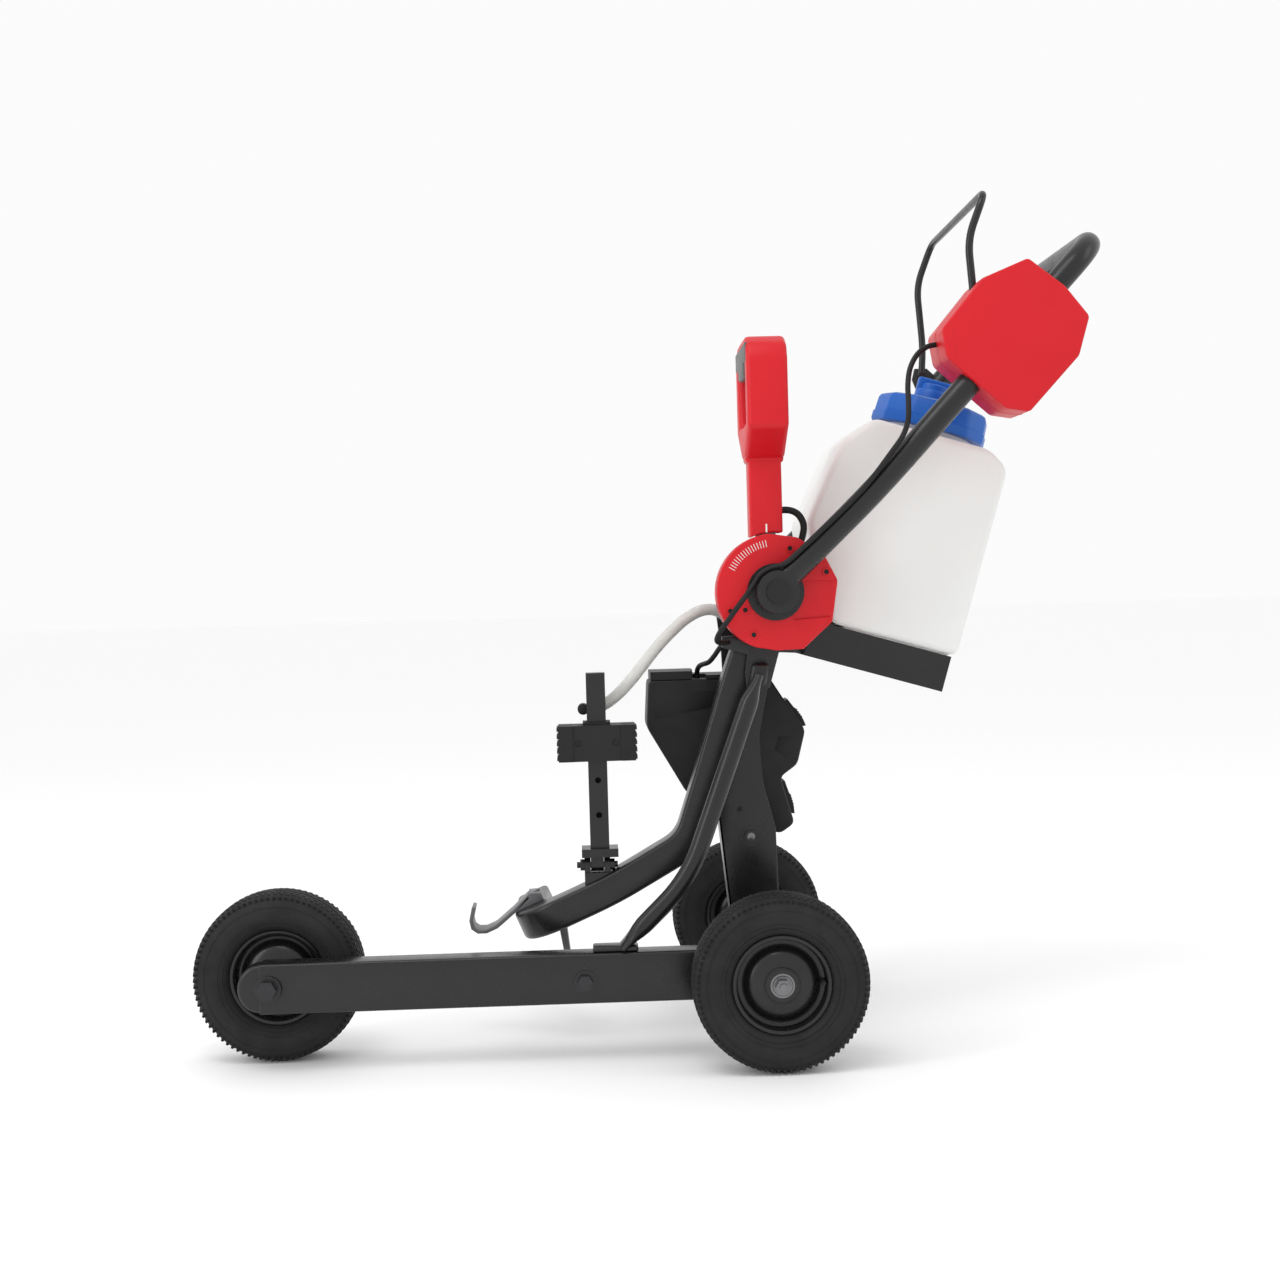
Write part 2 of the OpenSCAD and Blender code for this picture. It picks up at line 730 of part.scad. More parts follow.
module boom_tube() {
    color([0.07, 0.07, 0.08])
        difference() {
            union() {
                slab(boom_side(boom_h / 2), boom_near, boom_far);
                boom_front(0);
                rod(pivot_x, pivot_z, boom_near, boom_far, boom_hub_d + 14);
            }
            slab(boom_hollow(boom_h / 2 - boom_wall), boom_near + boom_wall, boom_far - boom_wall);
            boom_front(boom_wall, boom_wall);
            rod(pivot_x, pivot_z, boom_near - 1, boom_far + 1, boom_hub_d);
            translate([boom_front_x, boom_mid + 110, boom_front_z - 40])
                cylinder(h = 40, d = 6);
        }
}

module boom_hub() {
    color([0.5, 0.5, 0.52])
        difference() {
            union() {
                at_pivot()
                    slab(gear_points(large_teeth, shaft_angle), stage_two, stage_two + gear_w);
                rod(pivot_x, pivot_z, stage_two + gear_w, hanger_y + hanger_t, boom_hub_d);
            }
            rod(pivot_x, pivot_z, stage_two - 1, hanger_y + hanger_t + 1, shaft_d + 2 * run_fit);
        }
}

module shroud_hanger() {
    y = hanger_y;
    color([0.09, 0.09, 0.1])
        difference() {
            union() {
                rod(pivot_x, pivot_z, y, y + hanger_t, 56);
                slab([[146, 610], [176, 568], [148, 535], [138, 500], [150, 466], [152, 400], [112, 400],
                    [112, 470], [110, 520], [104, 574], [110, 588]], y, y + hanger_t);
                rod(hose_x, hose_z, y - 3, y + hanger_t + 3, hose_d + 7);
            }
            rod(pivot_x, pivot_z, y - 1, y + hanger_t + 1, boom_hub_d);
            rod(hose_x, hose_z, y - 10, y + hanger_t + 10, hose_d + 0.4);
        }
}

shroud_side = [[10, 478], [176, 478], [196, 446], [224, 404], [212, 357], [188, 340], [206, 276],
    [186, 262], [130, 282], [58, 323], [6, 414]];
shroud_mid = [112, 392];

module shroud_shell(y0, y1, c0, c1) {
    inner = [for (p = shroud_side) shroud_mid + (p - shroud_mid) * (1 - 1.1 * shell_t / norm(p - shroud_mid))];
    color([0.1, 0.1, 0.11])
        difference() {
            slab(shroud_side, y0, y1);
            slab(inner, c0, c1);
            translate([30, shroud_y + 8, 460])
                cube([120, 74, 40]);
        }
}

module shroud_near() {
    shroud_shell(shroud_y, shroud_split, shroud_y + shell_t, shroud_split + 1);
    color([0.1, 0.1, 0.11])
        difference() {
            translate([plunger_at[0] - 14, shroud_y + 1, plunger_at[2] - 25])
                cube([28, plunger_at[1] - shroud_y + 5, 6]);
            translate([plunger_at[0], plunger_at[1], plunger_at[2] - 30])
                cylinder(h = 30, d = plunger_d + 2 * run_fit);
        }
}

module shroud_far() {
    shroud_shell(shroud_split, shroud_back, shroud_split - 1, shroud_back - shell_t);
}

lid_hinge = [14, 483];
plunger_at = [79, 28, 470];
plunger_d = 5;

module shroud_lid() {
    y0 = shroud_y + 0.5;
    y1 = shroud_back - 0.5;
    color([0.12, 0.12, 0.13])
        difference() {
            union() {
                translate([14, y0, 478 + slide_gap])
                    cube([150, y1 - y0, 5]);
                translate([13, y0, 478 + slide_gap])
                    cube([60, y1 - y0, 11]);
            }
            translate([70, y0 - 1, 470])
                cube([20, 45, 40]);
            translate([18, y0 + 4, 474])
                cube([50, y1 - y0 - 8, 10]);
        }
}

// A flat catch lying along the shroud's outline from p to q
module catch(p, q) {
    d = unit(q - p);
    n = [-d[1], d[0]];
    g = slide_gap;
    y0 = shroud_split - 17;
    slab([p + g * n, q + g * n, q + (g + 5) * n + 2 * d, q - 8 * d + (g + 7) * n, p + (g + 5) * n], y0, y0 + 34);
    for (i = [0:3])
        slab([q - (12 + i * 4) * d + (g + 3) * n, q - (10 + i * 4) * d + (g + 3) * n,
            q - (10 + i * 4) * d + (g + 8) * n, q - (12 + i * 4) * d + (g + 8) * n], y0 + 3, y0 + 31);
}

module upper_latch() {
    color([0.13, 0.13, 0.14])
        catch([198, 443], [222, 407]);
}

module lower_latch() {
    color([0.13, 0.13, 0.14])
        catch([191, 331], [203, 287]);
}

hook_line = [[-234, 184], [-238, 166], [-236, 156], [-229, 151], [-218, 151], [-204, 157], [-180, 177],
    [-160, 196]];

module hook_bracket() {
    y0 = boom_mid + 28;
    t = 5;
    top = front_at + boom_h / 2 * boom_n;
    color([0.72, 0.72, 0.74])
        difference() {
            union() {
                slab(strip(hook_line, t / 2), y0, y0 + 40);
                slab([top - 23 * boom_c, top + 22 * boom_c, top + 22 * boom_c + 10 * boom_n,
                    top + 6 * boom_c + 16 * boom_n, [-158, 200], [-164, 194]], y0, y0 + 40);
                translate([top[0], y0 + 20, top[1]])
                    rotate([0, -boom_slope, 0])
                        translate([12, 0, 8])
                            cylinder(h = 9, d = 15 / cos(30), $fn = 6);
            }
            translate([-204, y0 + 20, 120])
                cylinder(h = 70, d = hook_hole_d);
            slab(boom_side(boom_h / 2), boom_near, boom_far);
            boom_front(0);
        }
    color([0.72, 0.72, 0.74])
        difference() {
            slab([[-122, 146], [-114, 98], [-90, 98], [-92, 106], [-107, 106], [-112, 150]], -12, 28);
            boom_front(0);
            slab(boom_side(boom_h / 2), boom_near, boom_far);
        }
}

module post_foot() {
    x = post_x - 4;
    color([0.1, 0.1, 0.11])
        difference() {
            union() {
                translate([x - foot_block_w / 2, post_y - 15, tilt_bolt_z - 36])
                    cube([foot_block_w, 30, 27]);
                for (s = [-1, 1])
                    translate([x + s * 13 - 4, post_y, tilt_bolt_z])
                        rotate([0, 90, 0])
                            cylinder(h = 8, d = 23);
                for (s = [-1, 1])
                    translate([x + s * 13 - 4, post_y - 11.5, tilt_bolt_z - 12])
                        cube([8, 23, 12]);
            }
            slab(boom_side(boom_h / 2), boom_near - 1, boom_far + 1);
            translate([-120, post_y, tilt_bolt_z])
                rotate([0, 90, 0])
                    cylinder(h = 120, d = tilt_bolt_d);
        }
    color([0.3, 0.3, 0.32])
        translate([x - 27, post_y, tilt_bolt_z])
            rotate([0, 90, 0]) {
                cylinder(h = 54, d = tilt_bolt_d);
                translate([0, 0, 4.5])
                    cylinder(h = 5.5, d = 13 / cos(30), $fn = 6);
                translate([0, 0, 44])
                    cylinder(h = 6, d = 13 / cos(30), $fn = 6);
            }
}

// Depth lever, drawn upright above the pivot and then leaned

module lever_frame() {
    at_pivot()
        translate([stem_x, 0, 0])
            children();
}

module lever_body(b0, b1) {
    w = stem_w / 2;
    g = grip_w / 2;
    lever_frame()
        difference() {
            union() {
                difference() {
                    union() {
                        difference() {
                            translate([-w, stem_near, 50])
                                cube([stem_w, stem_far - stem_near, grip_low - 50]);
                            rod(-stem_x, 0, dial_near, dial_far + 60, 2 * lever_foot);
                        }
                        rotate([90, 0, 90])
                            translate([0, 0, -g])
                                linear_extrude(height = grip_w)
                                    polygon([[stem_near, 170], [stem_far, 170], [grip_far, grip_low],
                                        [grip_far, grip_high - 30], [grip_far - 9, grip_high - 9],
                                        [grip_far - 30, grip_high], [grip_near + 30, grip_high],
                                        [grip_near + 9, grip_high - 9], [grip_near, grip_high - 30],
                                        [grip_near, grip_low]]);
                    }
                    translate([-w + shell_t, stem_near + shell_t, 60])
                        cube([stem_w - 2 * shell_t, stem_far - stem_near - 2 * shell_t, 130]);
                }
                for (z = [112, 142])
                    rod(0, z, b0, b1, 10);
            }
            translate([-g - 1, loop_near, loop_low])
                cube([grip_w + 2, loop_far - loop_near, loop_high - loop_low]);
            translate([-g - 1, loop_near + 12, loop_high - 2])
                cube([30, loop_far - loop_near - 24, 22]);
            for (s = [-1, 1])
                translate([s * g, grip_near - 1, grip_high])
                    rotate([0, 45, 0])
                        translate([-9, 0, -9])
                            cube([18, grip_far - grip_near + 2, 18]);
            for (s = [-1, 1])
                translate([s * g, stem_near - 70, 170])
                    rotate([0, 45, 0])
                        translate([-3.5, 0, -3.5])
                            cube([7, 180, 7]);
        }
}

module lever_near() {
    color([0.8, 0.05, 0.08])
        intersection() {
            lever_body(stem_near + 1, lever_plate_y);
            translate([0, lever_mid - 300, 500])
                cube([400, 300, 600]);
        }
}

module lever_far() {
    color([0.78, 0.05, 0.08])
        intersection() {
            lever_body(lever_plate_y + lever_plate_t, stem_far - 1);
            translate([0, lever_mid, 500])
                cube([400, 300, 600]);
        }
}

module lever_hub() {
    color([0.5, 0.5, 0.52])
        difference() {
            union() {
                at_pivot() {
                    slab(gear_points(small_teeth, shaft_angle), stage_one, stage_one + gear_w);
                    rod(0, 0, stage_one + gear_w, lever_plate_y + lever_plate_t, lever_hub_d);
                }
                rod(pivot_x, pivot_z, lever_plate_y, lever_plate_y + lever_plate_t, quadrant_d);
                lever_frame()
                    translate([-13, lever_plate_y, 8])
                        cube([26, lever_plate_t, 146]);
            }
            rod(pivot_x, pivot_z, dial_near, dial_far, shaft_d + 2 * run_fit);
        }
}

module release_trigger() {
    g = grip_w / 2;
    color([0.45, 0.45, 0.46])
        lever_frame()
            translate([-g, loop_near + 12 + slide_gap, loop_high - trigger_travel - 3])
                cube([24, loop_far - loop_near - 24 - 2 * slide_gap, 18]);
}

module release_cable() {
    color([0.05, 0.05, 0.05])
        cord(release_cable_route, release_cable_d);
}

shoe_angle = 240;

module lock_shoe() {
    color([0.55, 0.5, 0.3])
        at_pivot()
            turned(shoe_angle)
                difference() {
                    translate([0, lever_plate_y + 0.5, -7])
                        cube([36, lever_plate_t - 1, 14]);
                    rod(0, 0, dial_near, dial_far, quadrant_d + 2 * slide_gap);
                }
}

module layshaft() {
    color([0.5, 0.5, 0.52])
        at_pivot()
            translate([lay_x, 0, lay_z]) {
                slab(gear_points(large_teeth, shaft_angle + 180 + 180 / large_teeth), stage_one, stage_one + gear_w);
                rod(0, 0, dial_near + shell_t + 0.3, dial_far - shell_t + 0.7, lay_d);
                slab(gear_points(small_teeth, shaft_angle + 180 + 180 / small_teeth), stage_two, stage_two + gear_w);
            }
}

// Handle

function arm_at(i, y) = [pivot_x + arm_points[i][0], y, pivot_z + arm_points[i][1]];
arm_end = arm_at(3, 0);
arm_dir = unit(arm_end - arm_at(2, 0));

// The whole loop: near arm, corner, cross grip, corner, far arm
function corner_at(s, a) = arm_end - arm_corner_r * (1 - sin(a)) * arm_dir
    + [0, s * (arm_y - arm_corner_r * (1 - cos(a))), 0];
function soft_bend(y) = [for (t = [0:0.25:1]) (1 - t) * (1 - t) * (arm_at(2, y) - 40 * unit(arm_at(2, y) - arm_at(1, y)))
    + 2 * t * (1 - t) * arm_at(2, y) + t * t * (arm_at(2, y) + 40 * arm_dir)];
function arm_half(s) = concat([arm_at(0, s * arm_y), arm_at(1, s * arm_y)], soft_bend(s * arm_y),
    [for (a = [0:15:90]) corner_at(s, a)]);
handle_path = concat(arm_half(-1), reversed(arm_half(1)));

module handle_hubs() {
    color([0.06, 0.06, 0.07])
        for (s = [-1, 1])
            difference() {
                rod(pivot_x, pivot_z, s * arm_y - 17, s * arm_y + 17, arm_hub_d);
                rod(pivot_x, pivot_z, s * arm_y - 18, s * arm_y + 18, shaft_d + 2 * run_fit);
            }
}

module handle_tube() {
    color([0.06, 0.06, 0.07])
        difference() {
            union() {
                cord(handle_path, handle_d, 16);
                slab([[bail_pivot[0] - 12, bail_pivot[1] - 4], [bail_pivot[0] - 8, bail_pivot[1] + 12],
                    [bail_pivot[0] + 10, bail_pivot[1] + 12], [466, 893], [440, 862], [430, 870]],
                    arm_y - 6, arm_y - 1);
            }
            cord(handle_path, handle_d - 5, 16);
            for (s = [-1, 1])
                rod(pivot_x, pivot_z, s * arm_y - 40, s * arm_y + 40, arm_hub_d);
            rod(bail_pivot[0], bail_pivot[1], arm_y - 40, arm_y + 1, bail_d + 2 * run_fit);
        }
}

// The throttle box's outline, shrunk by inset
box_mid = [475, 912];
function box_side(inset) = [for (c = throttle_corners)
    box_mid + (c - box_mid) * (1 - 1.08 * inset / norm(c - box_mid))];

module box_shell(y0, y1, c0, c1, b0, b1) {
    color([0.8, 0.05, 0.08])
        difference() {
            union() {
                difference() {
                    slab(box_side(0), y0, y1);
                    slab(box_side(shell_t), c0, c1);
                }
                rod(bail_pivot[0], bail_pivot[1], b0, b1, bail_d + 8);
            }
            bar(arm_at(2, -arm_y), arm_at(3, -arm_y), handle_d);
            rod(bail_pivot[0], bail_pivot[1], -bail_y - 16, -bail_y + 16, bail_d + 2 * run_fit);
            slab([bail_pivot + [-9, -6], [408, 1010], [480, 1040], [570, 1040], bail_pivot + [9, -6]],
                -bail_y - 6, -bail_y + 6);
            bar([390, -165, 905], [370, -165, 905], cable_d + 0.4);
        }
}

module throttle_box_near() {
    box_shell(box_near, box_split, box_near + shell_t, box_split + 1, box_near + 1, -bail_y - 6);
}

module throttle_box_far() {
    box_shell(box_split, box_far, box_split - 1, box_far - shell_t, -bail_y + 6, box_far - 1);
}

module handle_caps() {
    color([0.1, 0.1, 0.11])
        for (s = [0, 1])
            rod(pivot_x, pivot_z, s ? arm_y + 17 : arm_hub_near - 4, s ? arm_y + 21 : arm_hub_near, 31);
}

bail_path = concat([for (p = bail_points) [p[0], -bail_y, p[1]]],
    [for (p = reversed(bail_points)) [p[0], bail_y, p[1]]]);

module bail() {
    color([0.06, 0.06, 0.06]) {
        cord(rounded(bail_path, 22), bail_d, 10);
        rod(bail_pivot[0], bail_pivot[1], -bail_y - 15, -bail_y + 15, bail_d);
        rod(bail_pivot[0], bail_pivot[1], bail_y - 5, arm_y - 1, bail_d);
    }
}

module throttle_plunger() {
    color([0.85, 0.85, 0.86])
        translate(plunger_at) {
            sphere(d = 11);
            translate([0, 0, -36])
                cylinder(h = 34, d = plunger_d);
            translate([-14, -12, -48])
                cube([28, 24, 12.5]);
        }
}

module post_tube() {
    h = post_top - pad_plate_z - pad_plate_t;
    color([0.08, 0.08, 0.09])
        difference() {
            translate([post_x - post_s / 2, post_y - post_s / 2, pad_plate_z + pad_plate_t])
                cube([post_s, post_s, h]);
            translate([post_x - post_s / 2 + post_wall, post_y - post_s / 2 + post_wall, pad_plate_z + pad_plate_t - 1])
                cube([post_s - 2 * post_wall, post_s - 2 * post_wall, h - 1]);
            for (z = [308, 354])
                rod(post_x, z, post_y - 20, post_y + 20, 8);
        }
    color([0.75, 0.75, 0.77])
        translate([post_x - 24, post_y - 20, pad_plate_z])
            cube([48, 40, pad_plate_t]);
    color([0.08, 0.08, 0.09])
        difference() {
            union() {
                translate([post_x - 4 - 8.6, post_y - 8.6, tilt_bolt_z])
                    cube([17.2, 17.2, pad_plate_z - tilt_bolt_z]);
                translate([post_x - 4 - 8.6, post_y, tilt_bolt_z])
                    rotate([0, 90, 0])
                        cylinder(h = 17.2, d = 17.2);
            }
            translate([-120, post_y, tilt_bolt_z])
                rotate([0, 90, 0])
                    cylinder(h = 120, d = tilt_bolt_d + 2 * run_fit);
        }
}

module hose_connector() {
    a = hose_front_route[len(hose_front_route) - 1];
    b = a + 13 * unit(a - hose_front_route[len(hose_front_route) - 2]);
    color([0.1, 0.1, 0.11]) {
        bar(a, b, hose_d + 6);
        bar(b, b + [-34, 0, -4], 12);
        translate([post_x - 8, post_y + post_s / 2, b[2] - 4])
            cube([16, a[1] - post_y - post_s / 2, 12]);
    }
}

module clamp_block() {
    g = slide_gap;
    color([0.1, 0.1, 0.11])
        difference() {
            union() {
                translate([post_x - clamp_w / 2 + clamp_pad_w, post_y - 26, clamp_low])
                    cube([clamp_w - 2 * clamp_pad_w, 46, clamp_high - clamp_low]);
                translate([post_x - clamp_w / 2 + 4, post_y - 16, clamp_low + 6])
                    cube([clamp_w - 8, 26, clamp_high - clamp_low - 12]);
                translate([post_x - 18, post_y - 18, clamp_high])
                    cube([36, 36, 4]);
            }
            translate([post_x - post_s / 2 - g, post_y - post_s / 2 - g, clamp_low - 1])
                cube([post_s + 2 * g, post_s + 2 * g, 80]);
            for (s = [-1, 1])
                rod(post_x + s * 24.5, 404, post_y - 30, post_y - 18, 9);
        }
    color([0.4, 0.4, 0.42])
        for (s = [-1, 1])
            rod(post_x + s * 24.5, 404, post_y - 24, post_y - 18, 9);
}

module clamp_pads() {
    color([0.05, 0.05, 0.05])
        for (s = [-1, 1])
            difference() {
                union() {
                    translate([post_x + s * (clamp_w / 2 - clamp_pad_w / 2) - clamp_pad_w / 2, post_y - 28, clamp_low])
                        cube([clamp_pad_w, 48, clamp_high - clamp_low]);
                    for (i = [0:4])
                        translate([post_x + s * (clamp_w / 2 + 1) - 1, post_y - 28, clamp_low + 2 + i * 9.6])
                            cube([2, 48, 4.6]);
                }
                translate([post_x - clamp_w / 2 + 4, post_y - 16, clamp_low + 6])
                    cube([clamp_w - 8, 26, clamp_high - clamp_low - 12]);
            }
}

// Tank

module tank_profile(inset) {
    m = [-30, 0.5 * tank_h];
    pts = [for (p = tank_side) [p[0], p[1] * tank_h]];
    rotate([90, 0, 0])
        translate([0, 0, -tank_w / 2 + inset])
            linear_extrude(height = tank_w - 2 * inset)
                polygon([for (p = pts) m + (p - m) * (1 - inset / 130)]);
}

module water_tank() {
    wall = 4;
    foot_w = tank_w - 10 - 2 * sheet_t - 2 * slide_gap;
    foot_l = tray_back - sheet_t - slide_gap + 70;
    color([0.93, 0.94, 0.93])
        in_tank_frame()
            difference() {
                union() {
                    tank_profile(0);
                    translate([-70, -foot_w / 2, -tank_foot])
                        cube([foot_l, foot_w, tank_foot + 1]);
                    translate([cap_x, 0, tank_h - 2])
                        cylinder(h = neck_step + cap_h - 6, d = neck_d);
                }
                tank_profile(wall);
                translate([-66, 4 - foot_w / 2, wall - tank_foot])
                    cube([foot_l - 8, foot_w - 8, tank_foot + 6]);
                translate([cap_x, 0, tank_h - 20])
                    cylinder(h = cap_h + 40, d = neck_d - 2 * wall);
                translate([-60, outlet_y, outlet_z])
                    rotate([0, -90, 0])
                        cylinder(h = 20, d = 8);
            }
}

module tank_cap() {
    color([0.05, 0.3, 0.75])
        in_tank_frame()
            translate([cap_x, 0, tank_h + neck_step])
                difference() {
                    union() {
                        cylinder(h = cap_h - 5, d = cap_d - 4);
                        cylinder(h = 14, d = cap_d);
                        translate([0, 0, cap_h - 5])
                            cylinder(h = 5, d = cap_d - 16);
                    }
                    translate([0, 0, -1])
                        cylinder(h = cap_h - 4, d = neck_d + 2 * slide_gap);
                    translate([knob_x - cap_x, 0, 0])
                        cylinder(h = cap_h + 1, d = knob_stem_d + 2 * run_fit);
                }
}

module cap_knob() {
    color([0.05, 0.3, 0.75])
        in_tank_frame()
            translate([knob_x, 0, tank_h + neck_step + cap_h + slide_gap]) {
                cylinder(h = 26, d = knob_d - 10);
                cylinder(h = 18, d = knob_d);
                translate([-knob_d / 2, -6, 10])
                    cube([knob_d, 12, 24]);
                translate([0, 0, -6])
                    cylinder(h = 7, d = knob_stem_d);
            }
}

module tank_outlet() {
    color([0.1, 0.1, 0.11])
        in_tank_frame()
            difference() {
                union() {
                    translate([-70 - slide_gap, outlet_y, outlet_z])
                        rotate([0, -90, 0])
                            cylinder(h = -tray_front - 66, d = outlet_d);
                    translate([tray_front, outlet_y, outlet_z])
                        rotate([0, -90, 0])
                            cylinder(h = 4 - slide_gap, d = outlet_d + 8);
                    translate([-112, outlet_y, outlet_z])
                        cylinder(h = 24, d = 12);
                    translate([-124, outlet_y - 4, outlet_z + 16])
                        cube([24, 8, 6]);
                }
                translate([-60, outlet_y, outlet_z])
                    rotate([0, -90, 0])
                        cylinder(h = 110, d = outlet_d - 5);
            }
}

module water_hose_rear() {
    color([0.9, 0.9, 0.88])
        cord(hose_rear_route, hose_d);
}

module water_hose_front() {
    color([0.9, 0.9, 0.88])
        cord(hose_front_route, hose_d);
}

module throttle_cable_upper() {
    color([0.05, 0.05, 0.05])
        cord(cable_upper_route, cable_d);
}

module throttle_cable_lower() {
    color([0.05, 0.05, 0.05])
        cord(cable_lower_route, cable_d);
}

main_rail();
axle_tube();
rear_axle();
axle_nuts();
front_axle_bolt();
brace_tube();
rear_upright();
frame_bolts();
pivot_tube();
pivot_shaft();
dial_base();
dial_cover();
dial_screws();
hub_disc();
tank_tray();
tyre(front_axle_x, front_wheel_y);  // front_tyre
rim(front_axle_x, front_wheel_y);  // front_rim
bearings(front_axle_x, front_wheel_y);  // front_bearings
tyre(rear_axle_x, -track / 2);  // left_tyre
rim(rear_axle_x, -track / 2);  // left_rim
bearings(rear_axle_x, -track / 2);  // left_bearings
tyre(rear_axle_x, track / 2);  // right_tyre
rim(rear_axle_x, track / 2);  // right_rim
bearings(rear_axle_x, track / 2);  // right_bearings
boom_tube();
boom_hub();
shroud_hanger();
shroud_near();
shroud_far();
shroud_lid();
upper_latch();
lower_latch();
hook_bracket();
post_foot();
lever_near();
lever_far();
lever_hub();
release_trigger();
release_cable();
lock_shoe();
layshaft();
handle_hubs();
handle_tube();
throttle_box_near();
throttle_box_far();
handle_caps();
bail();
throttle_plunger();
post_tube();
hose_connector();
clamp_block();
clamp_pads();
water_tank();
tank_cap();
cap_knob();
tank_outlet();
water_hose_rear();
water_hose_front();
throttle_cable_upper();
throttle_cable_lower();
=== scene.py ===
import json
import math

import bmesh
import bpy
from mathutils import Matrix, Vector


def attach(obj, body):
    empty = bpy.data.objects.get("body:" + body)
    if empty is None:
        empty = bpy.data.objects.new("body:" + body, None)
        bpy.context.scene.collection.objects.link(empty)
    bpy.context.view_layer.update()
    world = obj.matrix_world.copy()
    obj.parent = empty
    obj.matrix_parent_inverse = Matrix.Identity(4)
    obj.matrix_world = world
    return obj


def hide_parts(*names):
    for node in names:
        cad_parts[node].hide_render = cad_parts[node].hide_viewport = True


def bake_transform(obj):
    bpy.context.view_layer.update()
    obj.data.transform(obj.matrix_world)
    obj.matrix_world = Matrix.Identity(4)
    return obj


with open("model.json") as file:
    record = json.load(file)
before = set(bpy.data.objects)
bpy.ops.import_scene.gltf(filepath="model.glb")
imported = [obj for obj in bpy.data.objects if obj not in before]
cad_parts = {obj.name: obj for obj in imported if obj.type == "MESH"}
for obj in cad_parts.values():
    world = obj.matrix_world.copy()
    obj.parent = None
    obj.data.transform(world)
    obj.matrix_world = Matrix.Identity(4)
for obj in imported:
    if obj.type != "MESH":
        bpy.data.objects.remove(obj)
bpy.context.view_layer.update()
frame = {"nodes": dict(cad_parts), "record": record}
print("frame loaded")

# The camera stands on the operator's left, level with the dial, and is rolled a little
camera = {"at": (-0.073, -2.42, 0.603), "forward": (0.0303, 1.0, -0.0286), "roll": 1.65, "lens": 49.725}
forward = Vector(camera["forward"]).normalized()
roll = math.radians(camera["roll"])
right = Vector((math.cos(roll), 0.0, -math.sin(roll)))
right = (right - right.dot(forward) * forward).normalized()
up = right.cross(forward)
cameraData = bpy.data.cameras.new("camera")
cameraData.lens = camera["lens"]
cameraData.sensor_width = 36.0
cameraObject = bpy.data.objects.new("camera", cameraData)
bpy.context.collection.objects.link(cameraObject)
turn = Matrix((right, up, -forward)).transposed().to_4x4()
cameraObject.matrix_world = Matrix.Translation(camera["at"]) @ turn
bpy.context.scene.camera = cameraObject
print("camera placed")


# Materials

def nodeTree(name):
    material = bpy.data.materials.new(name)
    material.use_nodes = True
    tree = material.node_tree
    return material, tree, tree.nodes["Principled BSDF"]


def noise(tree, coords, scale, detail=3.0, rough=0.55, stretch=None):
    node = tree.nodes.new("ShaderNodeTexNoise")
    node.inputs["Scale"].default_value = scale
    node.inputs["Detail"].default_value = detail
    node.inputs["Roughness"].default_value = rough
    source = coords.outputs["Object"]
    if stretch:
        mapping = tree.nodes.new("ShaderNodeMapping")
        mapping.inputs["Scale"].default_value = stretch
        tree.links.new(source, mapping.inputs["Vector"])
        source = mapping.outputs["Vector"]
    tree.links.new(source, node.inputs["Vector"])
    return node.outputs["Fac"]


def spread(tree, value, low, high, start=0.3, end=0.7):
    node = tree.nodes.new("ShaderNodeMapRange")
    node.inputs["From Min"].default_value = start
    node.inputs["From Max"].default_value = end
    node.inputs["To Min"].default_value = low
    node.inputs["To Max"].default_value = high
    tree.links.new(value, node.inputs["Value"])
    return node.outputs["Result"]


def mixColour(tree, factor, first, second):
    node = tree.nodes.new("ShaderNodeMix")
    node.data_type = "RGBA"
    node.inputs["A"].default_value = (*first, 1.0)
    node.inputs["B"].default_value = (*second, 1.0)
    tree.links.new(factor, node.inputs["Factor"])
    return node.outputs["Result"]


def makeMaterial(name, look):
    material, tree, shader = nodeTree(name)
    coords = tree.nodes.new("ShaderNodeTexCoord")
    base = look["base"]
    worn = look.get("worn", tuple(min(1.0, c * 1.35 + 0.006) for c in base))
    cloud = noise(tree, coords, look.get("cloud", 14.0), 5.0, 0.6)
    amount = spread(tree, cloud, 0.0, look.get("shade", 0.5))
    tree.links.new(mixColour(tree, amount, base, worn), shader.inputs["Base Color"])
    rough = look["rough"]
    smear = noise(tree, coords, look.get("smear", 45.0), 4.0, 0.6, look.get("stretch"))
    tree.links.new(spread(tree, smear, rough[0], rough[1]), shader.inputs["Roughness"])
    grain = noise(tree, coords, look.get("grain", 900.0), 2.0, 0.5, look.get("stretch"))
    bump = tree.nodes.new("ShaderNodeBump")
    bump.inputs["Strength"].default_value = look.get("bump", 0.15)
    bump.inputs["Distance"].default_value = look.get("depth", 0.0004)
    tree.links.new(grain, bump.inputs["Height"])
    tree.links.new(bump.outputs["Normal"], shader.inputs["Normal"])
    shader.inputs["Metallic"].default_value = look.get("metal", 0.0)
    shader.inputs["Specular IOR Level"].default_value = look.get("gloss", 0.5)
    if look.get("glow"):
        shader.inputs["Subsurface Weight"].default_value = look["glow"]
        shader.inputs["Subsurface Radius"].default_value = (0.02, 0.02, 0.018)
    if look.get("clear"):
        shader.inputs["Transmission Weight"].default_value = look["clear"]
        shader.inputs["IOR"].default_value = 1.33
    return material


